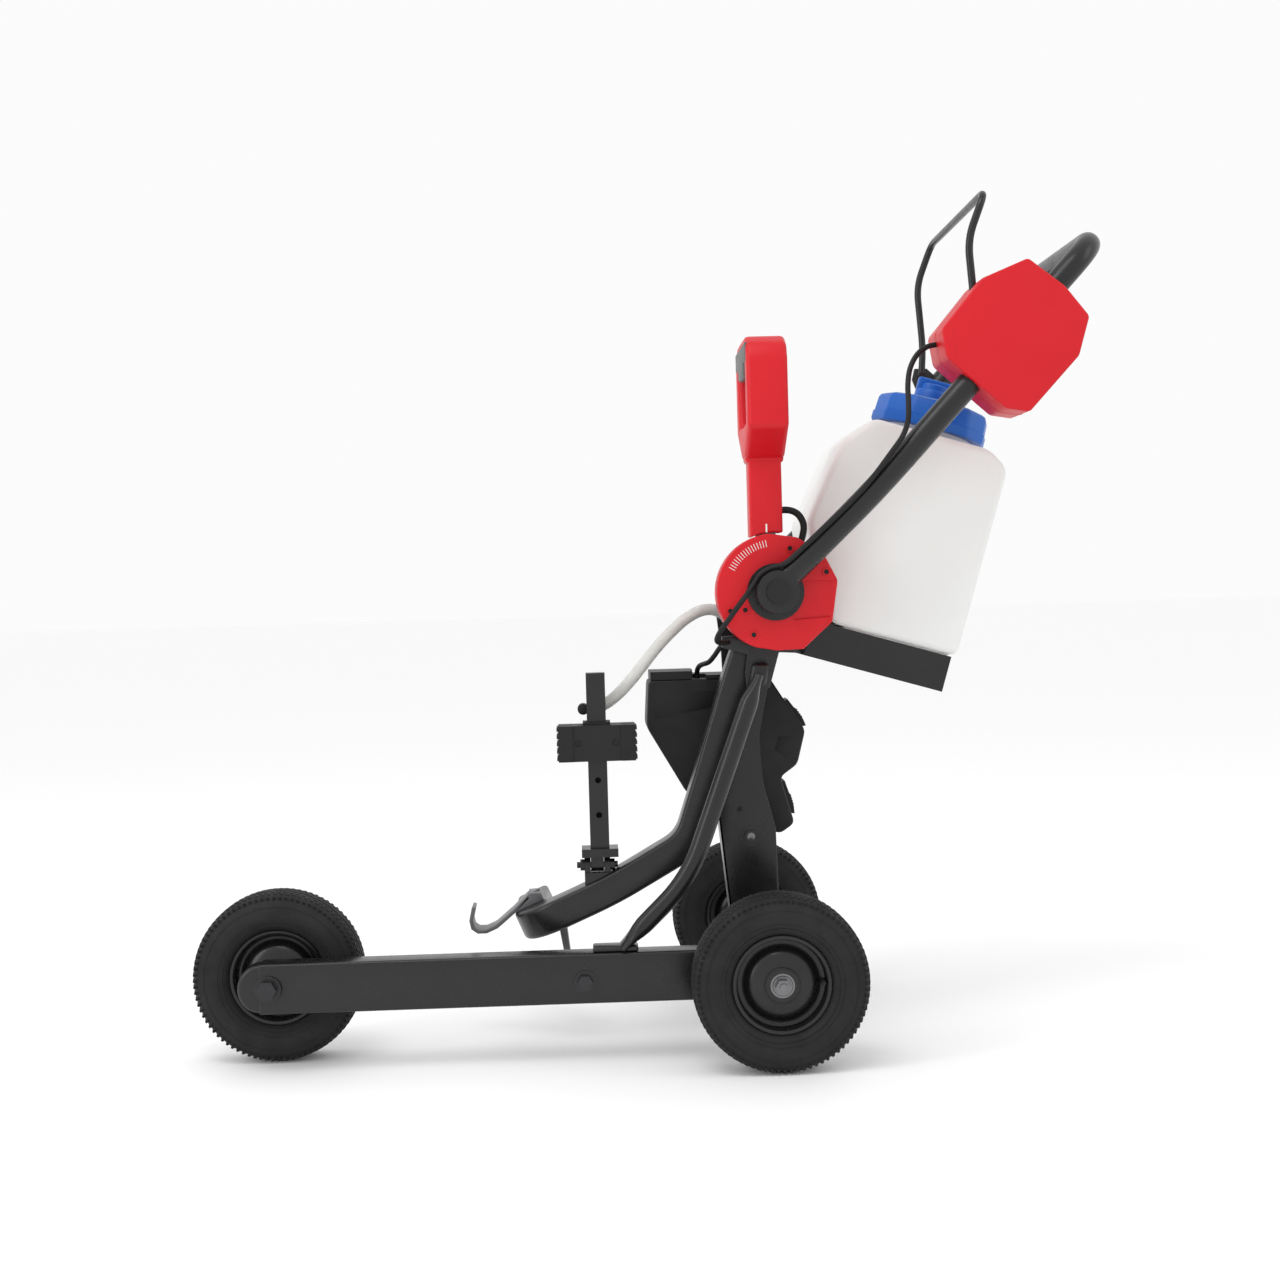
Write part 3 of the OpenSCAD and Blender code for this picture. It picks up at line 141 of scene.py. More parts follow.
looks = {
    "black_paint": {"base": (0.0075, 0.0075, 0.008), "worn": (0.013, 0.013, 0.014), "rough": (0.24, 0.34),
                    "grain": 1300.0, "bump": 0.16, "gloss": 0.42},
    "grey_paint": {"base": (0.10, 0.10, 0.105), "rough": (0.32, 0.45), "grain": 1100.0, "bump": 0.15, "shade": 0.3},
    "steel": {"base": (0.17, 0.17, 0.175), "rough": (0.24, 0.4), "metal": 0.9, "stretch": (1.0, 14.0, 1.0)},
    "dark_steel": {"base": (0.022, 0.022, 0.024), "rough": (0.3, 0.45), "metal": 0.4},
    "red_plastic": {"base": (0.56, 0.005, 0.012), "worn": (0.62, 0.009, 0.017), "rough": (0.36, 0.46),
                    "grain": 1500.0, "bump": 0.16, "shade": 0.35, "gloss": 0.3},
    "black_plastic": {"base": (0.0085, 0.0085, 0.009), "worn": (0.015, 0.015, 0.016), "rough": (0.42, 0.55),
                      "grain": 1700.0, "bump": 0.35, "gloss": 0.3},
    "rubber": {"base": (0.0075, 0.0075, 0.008), "worn": (0.014, 0.014, 0.015), "rough": (0.5, 0.66),
               "grain": 1200.0, "bump": 0.25, "gloss": 0.3},
    "grey_plastic": {"base": (0.075, 0.073, 0.072), "rough": (0.4, 0.55), "grain": 1500.0, "bump": 0.3},
    "brass": {"base": (0.55, 0.38, 0.14), "rough": (0.25, 0.4), "metal": 1.0},
    "white_plastic": {"base": (0.75, 0.75, 0.73), "rough": (0.3, 0.4), "shade": 0.2},
    "tyre": {"base": (0.0085, 0.0085, 0.009), "worn": (0.019, 0.0185, 0.018), "rough": (0.6, 0.8),
             "grain": 700.0, "bump": 0.35, "shade": 0.7, "gloss": 0.3},
    "tank_plastic": {"base": (0.76, 0.765, 0.75), "worn": (0.71, 0.715, 0.70), "rough": (0.3, 0.42),
                     "grain": 500.0, "bump": 0.1, "glow": 0.08, "shade": 0.4, "cloud": 9.0, "gloss": 0.35},
    "blue_plastic": {"base": (0.004, 0.10, 0.45), "worn": (0.006, 0.13, 0.54), "rough": (0.32, 0.44),
                     "grain": 1300.0, "bump": 0.2, "gloss": 0.35},
    "clear_hose": {"base": (0.74, 0.74, 0.71), "rough": (0.15, 0.28), "clear": 0.35, "bump": 0.08},
}
materials = {name: makeMaterial(name, look) for name, look in looks.items()}
record = frame["record"]
slotOf = {part["node"]: part["material_slot"] for part in record["subparts"]}
for name, node in frame["nodes"].items():
    node.data.materials.clear()
    node.data.materials.append(materials[slotOf[name]])
print("materials made")


# Mesh helpers, all in metres in the row's frame

def millimetres(points):
    return [Vector(point) / 1000.0 for point in points]


def finish(name, mesh, materialName, body, replaced=(), smooth=40.0):
    data = bpy.data.meshes.new(name)
    mesh.normal_update()
    bmesh.ops.recalc_face_normals(mesh, faces=mesh.faces)
    mesh.to_mesh(data)
    mesh.free()
    data.materials.append(materials[materialName])
    thing = bpy.data.objects.new(name, data)
    bpy.context.collection.objects.link(thing)
    limit = math.radians(smooth)
    for polygon in data.polygons:
        polygon.use_smooth = True
    data.set_sharp_from_angle(angle=limit)
    if replaced:
        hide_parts(*replaced)
    if body:
        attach(thing, body)
    return thing


def roundEdges(mesh, width, segments=3, angle=25.0):
    limit = math.radians(angle)
    edges = [e for e in mesh.edges if len(e.link_faces) == 2 and e.calc_face_angle(0.0) > limit]
    if edges:
        bmesh.ops.bevel(mesh, geom=edges, offset=width, offset_type="OFFSET", segments=segments, profile=0.5,
                        affect="EDGES", material=-1, clamp_overlap=True)


# An outline in X and Z, in millimetres, with depth from low to high in Y
def slab(points, low, high, bevel=0.0, segments=3, mesh=None, angle=25.0):
    own = bmesh.new()
    ring = [own.verts.new((x / 1000.0, low / 1000.0, z / 1000.0)) for x, z in points]
    face = own.faces.new(ring)
    grown = bmesh.ops.extrude_face_region(own, geom=[face])
    moved = [v for v in grown["geom"] if isinstance(v, bmesh.types.BMVert)]
    bmesh.ops.translate(own, verts=moved, vec=(0.0, (high - low) / 1000.0, 0.0))
    own.normal_update()
    bmesh.ops.recalc_face_normals(own, faces=own.faces)
    if bevel:
        roundEdges(own, bevel / 1000.0, segments, angle)
    return joined(mesh, own)


def joined(mesh, own):
    if mesh is None:
        return own
    data = bpy.data.meshes.new("part")
    own.to_mesh(data)
    own.free()
    mesh.from_mesh(data)
    bpy.data.meshes.remove(data)
    return mesh


# A box between two corners in millimetres, moved by the matrix turned
def cuboid(low, high, bevel=0.0, mesh=None, turned=None, segments=3):
    own = bmesh.new()
    bmesh.ops.create_cube(own, size=1.0)
    middle = [(a + b) / 2000.0 for a, b in zip(low, high)]
    extent = [abs(b - a) / 1000.0 for a, b in zip(low, high)]
    bmesh.ops.scale(own, verts=own.verts, vec=extent)
    bmesh.ops.translate(own, verts=own.verts, vec=middle)
    if bevel:
        roundEdges(own, bevel / 1000.0, segments)
    if turned:
        bmesh.ops.transform(own, matrix=turned, verts=own.verts)
    return joined(mesh, own)


# A closed profile of (radius, along) in millimetres, spun about an axis through centre
def turnedRing(profile, centre, mesh=None, steps=72, axis="Y"):
    own = bmesh.new()
    middle = Vector(centre) / 1000.0
    rings = []
    for step in range(steps):
        angle = 2 * math.pi * step / steps
        row = []
        for radius, along in profile:
            across = (radius * math.cos(angle) / 1000.0, radius * math.sin(angle) / 1000.0)
            if axis == "Y":
                spot = Vector((across[0], along / 1000.0, across[1]))
            else:
                spot = Vector((across[0], across[1], along / 1000.0))
            row.append(own.verts.new(middle + spot))
        rings.append(row)
    count = len(profile)
    for step in range(steps):
        following = rings[(step + 1) % steps]
        for i in range(count):
            j = (i + 1) % count
            own.faces.new((rings[step][i], rings[step][j], following[j], following[i]))
    bmesh.ops.remove_doubles(own, verts=own.verts, dist=1e-7)
    return joined(mesh, own)


# Given points in millimetres with each inner corner rounded over
def smoothPath(points, radius, steps=8):
    points = [Vector(p) for p in points]
    path = [points[0]]
    for before, here, after in zip(points, points[1:], points[2:]):
        reach = min(radius, (here - before).length * 0.49, (after - here).length * 0.49)
        start = here + (before - here).normalized() * reach
        end = here + (after - here).normalized() * reach
        for step in range(steps + 1):
            t = step / steps
            path.append((1 - t) ** 2 * start + 2 * t * (1 - t) * here + t * t * end)
    path.append(points[-1])
    return path


# A smooth curve through every given point, in millimetres
def curvePath(points, steps=4):
    points = [Vector(p) for p in points]
    path = []
    padded = [2 * points[0] - points[1]] + points + [2 * points[-1] - points[-2]]
    for a, b, c, d in zip(padded, padded[1:], padded[2:], padded[3:]):
        for step in range(steps):
            t = step / steps
            path.append(0.5 * (2 * b + (c - a) * t + (2 * a - 5 * b + 4 * c - d) * t * t
                               + (3 * b - 3 * c + d - a) * t ** 3))
    path.append(points[-1])
    return path


# Sweeps an outline along a path; outline(i) gives (width, height) points in millimetres
def tube(path, outline, mesh=None, closed=True):
    own = bmesh.new()
    side = None
    rings = []
    for i, spot in enumerate(path):
        ahead = (path[min(i + 1, len(path) - 1)] - path[max(i - 1, 0)]).normalized()
        if side is None:
            side = ahead.cross(Vector((0.13, 0.97, 0.2))).normalized()
        side = (side - side.dot(ahead) * ahead).normalized()
        other = ahead.cross(side)
        rings.append([own.verts.new((spot + w * side + h * other) / 1000.0) for w, h in outline(i)])
    for one, two in zip(rings, rings[1:]):
        for j in range(len(one)):
            k = (j + 1) % len(one)
            own.faces.new((one[j], one[k], two[k], two[j]))
    if closed:
        own.faces.new(rings[0][::-1])
        own.faces.new(rings[-1])
    return joined(mesh, own)


def circle(radius, sides=28):
    return [(radius * math.cos(2 * math.pi * j / sides), radius * math.sin(2 * math.pi * j / sides))
            for j in range(sides)]


def roundTube(path, diameter, mesh=None, sides=28):
    shape = circle(diameter / 2.0, sides)
    return tube(path, lambda i: shape, mesh)


def rod(x, z, low, high, diameter, mesh=None, bevel=0.0, sides=40):
    r = diameter / 2.0
    return slab([(x + a, z + b) for a, b in circle(r, sides)], low, high, bevel, 2, mesh, 50.0)


# The outline with each side moved in by distance
def inset(points, distance):
    area = sum(a[0] * b[1] - b[0] * a[1] for a, b in zip(points, points[1:] + points[:1]))
    sign = 1.0 if area > 0 else -1.0
    result = []
    count = len(points)
    for i in range(count):
        p, q, r = (Vector(points[(i + k) % count]) for k in (-1, 0, 1))
        one = (q - p).normalized()
        two = (r - q).normalized()
        normalOne = Vector((-one.y, one.x)) * sign
        normalTwo = Vector((-two.y, two.x)) * sign
        middle = normalOne + normalTwo
        result.append(tuple(q + middle * (distance / max(0.3, middle.dot(normalOne)))))
    return result


# Cords, hoses and their routes

cords = {
    "hoseRear": {"node": "water_hose_rear", "d": 16.0, "points": [
        (176.5, 20, 544.2), (165, 20, 547.6), (153, 19.9, 551.1), (142.5, 19.4, 554.2), (133, 17.8, 557.2),
        (126, 15.3, 559.6), (121, 11.6, 561.2), (118.5, 7.5, 561.9), (118, 3.2, 562)]},
    "hoseFront": {"node": "water_hose_front", "d": 16.0, "points": [
        (118, 3.0, 562), (118, -6, 562), (118, -12, 562), (118, -18, 562), (117, -23, 563.5), (113.5, -28, 566.5),
        (107, -32.5, 570), (98, -36.5, 573), (86, -40, 573), (72, -44.5, 568), (57, -49.5, 559), (44, -55, 548),
        (30, -59, 535), (16, -62, 520), (2, -63, 503), (-13, -63, 485), (-28, -62, 469), (-42, -62, 457), (-56, -62.5, 449),
        (-72, -63, 446)]},
    "cableUpper": {"node": "throttle_cable_upper", "d": 7.0, "points": [
        (385, -165, 905), (372, -168, 902), (358, -174, 892), (347, -182, 874), (342, -190, 852),
        (341, -197, 829), (339, -202, 806), (331, -205, 786), (317, -205.5, 767), (290, -205.5, 732.8),
        (262, -205.5, 704), (231, -205.5, 675.5), (199, -204, 647), (179, -202, 630.5), (162, -199, 625.5),
        (149, -196, 618), (141, -194, 607), (132, -191, 594), (120, -187, 578), (107, -181, 560),
        (98, -174, 547), (94, -165, 538), (95, -155, 533.5), (99, -145, 531.5), (106, -137, 531),
        (110, -129, 531), (110, -121, 531)]},
    "cableLower": {"node": "throttle_cable_lower", "d": 7.0, "points": [
        (110, -121, 531), (110, -116, 531), (109, -106, 530.5), (107, -92, 528), (103, -72, 521), (98, -50, 511),
        (93, -30, 503), (89, -17, 500), (85, -3, 498), (81.5, 12, 495), (79.5, 23, 490), (79, 28, 484), (79, 28, 477)]},
    "releaseCable": {"node": "release_cable", "d": 9.0, "points": [
        (182, -146, 700), (190, -146, 700), (198, -146, 698), (205, -146, 693), (210, -146, 684),
        (211, -146, 676), (209.6, -146, 668), (208, -146, 662.5), (206, -146, 656)]},
}


def cordPiece(name, materialName, wall=0.0):
    entry = cords[name]
    path = curvePath(entry["points"], 4)
    size = entry["d"] * 0.985
    mesh = roundTube(path, size, sides=24)
    if wall:
        roundTube(path, size - 2 * wall, mesh, sides=20)
    return finish(name, mesh, materialName, None, (entry["node"],), 60.0)


hoseRear = cordPiece("hoseRear", "clear_hose", 2.5)
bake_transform(hoseRear)
hoseFront = cordPiece("hoseFront", "clear_hose", 2.5)
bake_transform(hoseFront)
cableUpper = cordPiece("cableUpper", "rubber")
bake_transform(cableUpper)
cableLower = cordPiece("cableLower", "rubber")
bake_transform(cableLower)
releaseCable = cordPiece("releaseCable", "rubber")
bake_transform(releaseCable)
print("cords laid")


# Wheels

tyreLook = {"outer": 111.0, "half": 35.0}


def tyre(name, node, body, x, y):
    r = tyreLook["outer"]
    h = tyreLook["half"]
    profile = [(59.2, -23.5), (59.4, -24), (62.8, -24.4), (64.6, -28.5), (67.5, -30.8), (72, -32.6), (78, -34.4),
               (86, -h), (92, -34.4), (97, -33.2), (101, -31.4), (104, -29.2), (106.3, -26.4), (108, -23),
               (109.2, -18), (110, -12), (110.4, -8), (106.4, -7.4), (106.4, -4.6), (110.7, -4), (r - 0.2, 0),
               (110.7, 4), (106.4, 4.6), (106.4, 7.4), (110.4, 8), (110, 12), (109.2, 18), (108, 23), (106.3, 26.4),
               (104, 29.2), (101, 31.4), (97, 33.2), (92, 34.4), (86, h), (78, 34.4), (72, 32.6), (67.5, 30.8),
               (64.6, 28.5), (62.8, 24.4), (59.4, 24), (59.2, 23.5), (65, 14), (100, 16), (100, -16), (65, -14)]
    mesh = turnedRing(profile, (x, y, r), steps=120)
    ribs = 84
    for i in range(ribs):
        spin = Matrix.Translation((x / 1000.0, y / 1000.0, r / 1000.0)) @ Matrix.Rotation(
            2 * math.pi * i / ribs, 4, "Y")
        for side in (-1, 1):
            lean = spin @ Matrix.Translation((0, side * 0.0290, 0.1031)) @ Matrix.Rotation(side * 0.92, 4, "X")
            cuboid((-1.7, -5.6, -1.4), (1.7, 5.6, 0.75), 0.4, mesh, lean, 1)
            place = spin @ Matrix.Rotation(math.pi / ribs, 4, "Y")
            cuboid((-2.6, side * 12.0 - 3.2, 108.4), (2.6, side * 12.0 + 3.2, 110.55), 0.4, mesh, place, 1)
            cuboid((-2.4, side * 19.5 - 2.6, 107.0), (2.4, side * 19.5 + 2.6, 109.6), 0.4, mesh, spin, 1)
    for side in (-1, 1):
        for radius, wide in ((70.5, 33.0), (76.5, 34.6), (93.5, 34.6)):
            turnedRing([(radius - 0.7, side * (wide - 3)), (radius - 0.5, side * wide), (radius + 0.5, side * wide),
                        (radius + 0.7, side * (wide - 3))], (x, y, r), mesh, 96)
    return finish(name, mesh, "tyre", body, (node,), 35.0)


def rim(name, node, body, x, y):
    r = tyreLook["outer"]
    profile = [(16, -30), (17, -30), (22, -30), (22.5, -29.4), (22.6, -26), (25, -25.2), (33, -23), (39, -20.4),
               (42, -17.5), (44, -13.5), (46.5, -10.4), (49, -9.2), (52, -9.1), (54.6, -10.5), (55.8, -13),
               (56.2, -24), (57, -25.8), (58.8, -26.5), (61, -26.3), (62.3, -25.2), (62.5, -24.2), (61.5, -24.1),
               (59.3, -23.7), (59.0, -22.5), (59.0, 22.5), (59.3, 23.7), (61.5, 24.1), (62.5, 24.2), (62.3, 25.2),
               (61, 26.3), (58.8, 26.5), (57, 25.8), (56.2, 24), (55.8, 13), (54.6, 10.5), (52, 9.1), (49, 9.2),
               (46.5, 10.4), (44, 13.5), (42, 17.5), (39, 20.4), (33, 23), (25, 25.2), (22.6, 26), (22.5, 29.4),
               (22, 30), (16, 30)]
    mesh = turnedRing(profile, (x, y, r), steps=96)
    # Raised rings round the hub
    for side in (-1, 1):
        for radius in (21.0, 15.8, 12.2):
            turnedRing([(radius - 0.8, side * 20), (radius - 0.5, side * 30.2), (radius, side * 30.5),
                        (radius + 0.5, side * 30.2), (radius + 0.8, side * 20)], (x, y, r), mesh, 48)
    rimThing = finish(name, mesh, "black_paint", body, (node,), 35.0)
    stem = rod(x + 52, r, y - 20, y - 6, 7.0, None, 0.8)
    rod(x + 52, r, y - 24, y - 19, 5.0, stem, 0.6)
    finish(name + "Valve", stem, "rubber", body)
    return rimThing


wheels = [("front", "front_wheel", -488.0, -92.0), ("left", "left_wheel", 156.0, -236.0),
          ("right", "right_wheel", 156.0, 236.0)]
for label, body, x, y in wheels:
    tyre(label + "Tyre", label + "_tyre", body, x, y)
    rim(label + "Rim", label + "_rim", body, x, y)
print("wheels made")


# Frame

rail = {"x1": 185.0, "y0": -185.0, "y1": -147.0, "z0": 78.0, "z1": 142.0}
mesh = cuboid((-501.0, rail["y0"], rail["z0"]), (rail["x1"], rail["y1"], rail["z1"]), 4.0, None, None, 4)
plug = [(-500 + 28 * math.cos(math.radians(a)), 110 + 30.5 * math.sin(math.radians(a))) for a in range(90, 271, 6)]
slab([(-490, 140.5)] + plug + [(-490, 79.5)], rail["y0"] + 2, rail["y1"] - 2, 6.0, 4, mesh, 40.0)
finish("sideRail", mesh, "black_paint", "frame", ("main_rail",))
mesh = cuboid((rail["x1"] - 2.0, -182.5, 80.5), (rail["x1"] - 0.2, -149.5, 139.5), 2.0)
finish("railPlug", mesh, "black_plastic", "frame")

# A round tube that is pressed flat at both ends
braceTurn = smoothPath([(-38, -166, 146), (50, -166, 231), (148, -140, 488)], 45, 12)
bracePath = [braceTurn[0].lerp(braceTurn[1], t / 8.0) for t in range(8)] + braceTurn[1:-1]
bracePath += [braceTurn[-2].lerp(braceTurn[-1], 0.8 + t / 30.0) for t in range(7)]
flatFoot = [(22.0, 5.0), (21.0, 6.0), (17.5, 8.0), (13.6, 10.4), (12.2, 11.8), (12.0, 12.0)]
flatTop = [(12.0, 12.0), (12.4, 11.0), (13.4, 9.0), (14.6, 7.2), (15.4, 6.2), (15.8, 6.0)]


def braceShape(i):
    end = i - (len(bracePath) - len(flatTop))
    high, wide = flatTop[end] if end >= 0 else flatFoot[min(i, len(flatFoot) - 1)]
    return [(wide * math.cos(a), high * math.sin(a)) for a in [2 * math.pi * j / 36 for j in range(36)]]


mesh = tube(bracePath, braceShape)
cuboid((-76, -181, 142), (-18, -151, 149.5), 3.0, mesh)
slab([(136, 474), (158, 474), (163, 503), (141, 503)], -140, -118, 5.0, 4, mesh)
slab([(134, 470), (164, 470), (190, 560), (196, 598), (184, 619), (166, 621), (146, 607), (142, 560), (132, 490)],
     -124.6, -117.4, 1.2, 3, mesh)
slab([(103, 524), (140, 513), (146, 540), (103, 539)], -124.4, -117.6, 1.0, 2, mesh)
finish("braceTube", mesh, "black_paint", "frame", ("brace_tube",))


# A rounded box outline for a tube, as (width, height) points
def box2(wide, tall, radius, steps=4):
    points = []
    for cx, cy, start in ((1, 1, 0), (-1, 1, 90), (-1, -1, 180), (1, -1, 270)):
        for step in range(steps + 1):
            a = math.radians(start + 90.0 * step / steps)
            points.append((cx * (wide / 2 - radius) + radius * math.cos(a),
                           cy * (tall / 2 - radius) + radius * math.sin(a)))
    return points


# The saw carrier: a rounded box tube from the pivot down, forward and round to the other side
def carrierTube():
    slope = math.radians(23.2)
    ahead = Vector((math.cos(slope), 0, math.sin(slope)))
    front = Vector((-152, 0, 165))
    leg = smoothPath([front + 42 * ahead, (-49, 0, 209), (10, 0, 242), (54, 0, 267), (82, 0, 351), (130, 0, 502),
                      (170, 0, 595)], 38, 10)
    spots = []
    for i, spot in enumerate(leg):
        along = (leg[min(i + 1, len(leg) - 1)] - leg[max(i - 1, 0)]).normalized()
        spots.append((spot + Vector((0, -89, 0)), Vector((0, 1, 0)), Vector((-along.z, 0, along.x))))
    flat = Vector((-math.sin(slope), 0, math.cos(slope)))
    corner = []
    for step in range(0, 13):
        a = math.radians(90.0 * step / 12)
        spot = front + ahead * 42 * (1 - math.sin(a)) + Vector((0, -89 + 42 * (1 - math.cos(a)), 0))
        across = Vector((0, math.cos(a), 0)) + ahead * math.sin(a)
        corner.append((spot, across.normalized(), flat))
    corner.append((front + Vector((0, 61, 0)), ahead, flat))
    spots = corner[::-1] + spots[1:]
    shape = box2(46.0, 40.0, 6.0)
    own = bmesh.new()
    rings = [[own.verts.new((spot + w * across + h * high) / 1000.0) for w, h in shape]
             for spot, across, high in spots]
    for one, two in zip(rings, rings[1:]):
        for j in range(len(one)):
            k = (j + 1) % len(one)
            own.faces.new((one[j], one[k], two[k], two[j]))
    own.faces.new(rings[0][::-1])
    own.faces.new(rings[-1])
    rod(170, 595, -112, -66, 53.6, own, 1.5)
    return own


finish("carrier", carrierTube(), "black_paint", "boom", ("boom_tube",), 38.0)
print("frame made")


# Dial housing

def dialArc(radius):
    return [(radius * math.cos(math.radians(a)), radius * math.sin(math.radians(a))) for a in range(95, 250, 5)]


def atPivot(points):
    return [(170 + x, 595 + z) for x, z in points]


# The cover has a shallow pocket on its rear side, behind the handle's end
outline = atPivot(dialArc(75) + [(-27, -70), (0, -75), (35, -74), (73, -40), (81, 12), (64, 46), (30, 69)])
raised = atPivot(dialArc(75) + [(-27, -70), (0, -75), (35, -74), (71.5, -33), (24, -36), (14, -20), (26, 13),
                                (80.6, 13), (64, 46), (30, 69)])
mesh = slab(outline, -163.2, -146.3, 2.0, 3, None, 12.0)
slab(raised, -166, -152, 1.6, 4, mesh, 12.0)
finish("dialFront", mesh, "red_plastic", "frame", ("dial_cover",), 30.0)
mesh = slab(outline, -145.7, -126, 2.5, 4, None, 12.0)
finish("dialBack", mesh, "red_plastic", "frame", ("dial_base",), 30.0)
mesh = slab(atPivot(dialArc(73.5) + [(-26, -68), (34, -72), (71, -38), (79, 12), (62, 45), (30, 67)]),
            -146.6, -145.4)
finish("dialSeam", mesh, "black_plastic", "frame")

ticks = {"count": 16, "first": 9.5, "step": 3.4, "inner": 58.4, "outer": 67.2, "wide": 0.85}
mesh = bmesh.new()
for i in range(ticks["count"]):
    angle = math.radians(90 + ticks["first"] + ticks["step"] * i)
    place = Matrix.Translation((0.170, 0, 0.595)) @ Matrix.Rotation(-angle, 4, "Y")
    cuboid((ticks["inner"], -166.15, -ticks["wide"] / 2), (ticks["outer"], -165.6, ticks["wide"] / 2), 0.0,
           mesh, place)
finish("dialTicks", mesh, "white_plastic", "frame")
mesh = slab([(159.8, 671.5), (161.8, 671.5), (161.8, 682), (159.8, 682)], -165.3, -164.6)
finish("leverPointer", mesh, "white_plastic", "lever")
mesh = bmesh.new()
sinks = bmesh.new()
for x, z in [(20, 55), (66, 24), (-58, -23), (-39, -22), (-29, -54)]:
    turnedRing([(3.2, -1.5), (3.2, 0.3), (4.6, 0.3), (5.0, -0.2), (5.0, -1.5)], (170 + x, -166, 595 + z), mesh, 32)
    rod(170 + x, 595 + z, -166.1, -164.0, 6.2, sinks)
finish("dialScrewRings", mesh, "red_plastic", "frame")
finish("dialScrewSinks", sinks, "black_plastic", "frame")


# Depth lever: a stem and a wide loop grip

# A frame outline in Y and Z with a matching hole, with depth from low to high in X, in millimetres
def loopSolid(outer, inner, low, high, bevel):
    own = bmesh.new()
    layers = []
    for x in (low, high):
        layers.append(([own.verts.new((x / 1000.0, y / 1000.0, z / 1000.0)) for y, z in outer],
                       [own.verts.new((x / 1000.0, y / 1000.0, z / 1000.0)) for y, z in inner]))
    count = len(outer)
    (outLow, inLow), (outHigh, inHigh) = layers
    for i in range(count):
        j = (i + 1) % count
        own.faces.new((outLow[i], outLow[j], inLow[j], inLow[i]))
        own.faces.new((outHigh[j], outHigh[i], inHigh[i], inHigh[j]))
        own.faces.new((outLow[j], outLow[i], outHigh[i], outHigh[j]))
        own.faces.new((inLow[i], inLow[j], inHigh[j], inHigh[i]))
    own.normal_update()
    bmesh.ops.recalc_face_normals(own, faces=own.faces)
    roundEdges(own, bevel / 1000.0, 4, 20.0)
    return own


gripOuter = [(-165, 765), (-127, 765), (-68.5, 801), (-68, 840), (-68, 888), (-76, 906), (-98, 917.5), (-146, 918),
             (-194, 917.5), (-216, 906), (-224, 888), (-224, 840), (-223.5, 801)]
gripInner = [(-166, 809), (-126, 809), (-99, 811), (-98, 845), (-98, 872), (-99.5, 881), (-106, 882), (-146, 882),
             (-186, 882), (-192.5, 881), (-194, 872), (-194, 845), (-193, 811)]
mesh = loopSolid(gripOuter, gripInner, 135.2, 186.8, 7.0)
arc = [(140 + 42 * t / 8.0) for t in range(9)]
stem = [(182, 766), (140, 766)] + [(x, 595 + math.sqrt(76.2 ** 2 - (x - 170) ** 2)) for x in arc]
slab(stem, -164.9, -127.1, 3.0, 3, mesh, 40.0)
cuboid((136.5, -164.9, 760), (185.5, -127.1, 778), 5.0, mesh)
finish("leverBody", mesh, "red_plastic", "lever", ("lever_near", "lever_far"), 35.0)
mesh = cuboid((134.2, -181.4, 868.2), (158.8, -110.8, 891.5), 4.0)
finish("gripTrigger", mesh, "grey_plastic", "trigger", ("release_trigger",))
mesh = cuboid((134.3, -212, 884.5), (138, -80, 908), 1.6)
finish("gripInlay", mesh, "grey_plastic", "lever")
print("dial and lever made")


# Handle, throttle box and bail

def handlePath():
    points = []
    for s in (-1, 1):
        y = s * 190.0
        half = [(184, y, 614), (196, y, 625), (300, y, 723), (586, y, 1031), (586, 0, 1031)]
        path = [Vector(p) for p in half]
        run = [path[0], path[1]] + smoothPath([path[1], path[2], path[3]], 60)[1:-1]
        along = (path[3] - path[2]).normalized()
        for step in range(0, 13):
            a = math.radians(90.0 * step / 12)
            run.append(path[3] - 50 * (1 - math.sin(a)) * along + Vector((0, -s * 50 * (1 - math.cos(a)), 0)))
        points.append(run)
    return points[0] + points[1][::-1]


mesh = roundTube(handlePath(), 31.8, sides=36)
slab([(418, 901), (422, 917), (440, 917), (466, 893), (440, 862), (430, 870)], 184.2, 188.8, 0.8, 2, mesh)
finish("handleLoop", mesh, "black_paint", "handle", ("handle_tube",))

box = [(493, 1004), (539, 968), (569, 930), (555, 881), (491, 812), (461, 817), (388, 882), (382, 918), (434, 980)]


def softCorners(points, radius, steps=4):
    result = []
    count = len(points)
    for i in range(count):
        p, q, r = (Vector((*points[(i + k) % count], 0.0)) for k in (-1, 0, 1))
        reach = min(radius, (p - q).length * 0.45, (r - q).length * 0.45)
        start = q + (p - q).normalized() * reach
        end = q + (r - q).normalized() * reach
        for step in range(steps + 1):
            t = step / steps
            spot = (1 - t) ** 2 * start + 2 * t * (1 - t) * q + t * t * end
            result.append((spot.x, spot.y))
    return result


boxSoft = softCorners(box, 3.0, 2)
mesh = slab(boxSoft, -213.8, -119.2, 4.0, 3, None, 15.0)
finish("throttleBox", mesh, "red_plastic", "handle", ("throttle_box_near", "throttle_box_far"), 35.0)
mesh = slab([(396, 884), (402, 889), (396, 926), (390, 921)], -214.0, -211.0, 1.0, 3)
finish("throttleBoxRib", mesh, "red_plastic", "handle")
mesh = slab(inset(boxSoft, -0.25), -168.2, -167.8, 0.0)
finish("throttleBoxSeam", mesh, "red_plastic", "handle")

bailPoints = [(430, 905), (433, 945), (426, 1036), (449, 1096)]
loop = [(x, -174, z) for x, z in bailPoints] + [(x, 174, z) for x, z in reversed(bailPoints)]
mesh = roundTube(smoothPath(loop, 22), 9.8, sides=24)
rod(430, 905, -188.8, -159.2, 9.8, mesh)
rod(430, 905, 169.2, 188.9, 9.8, mesh)
finish("bailLoop", mesh, "black_paint", "bail", ("bail",))
print("handle made")


# Tank

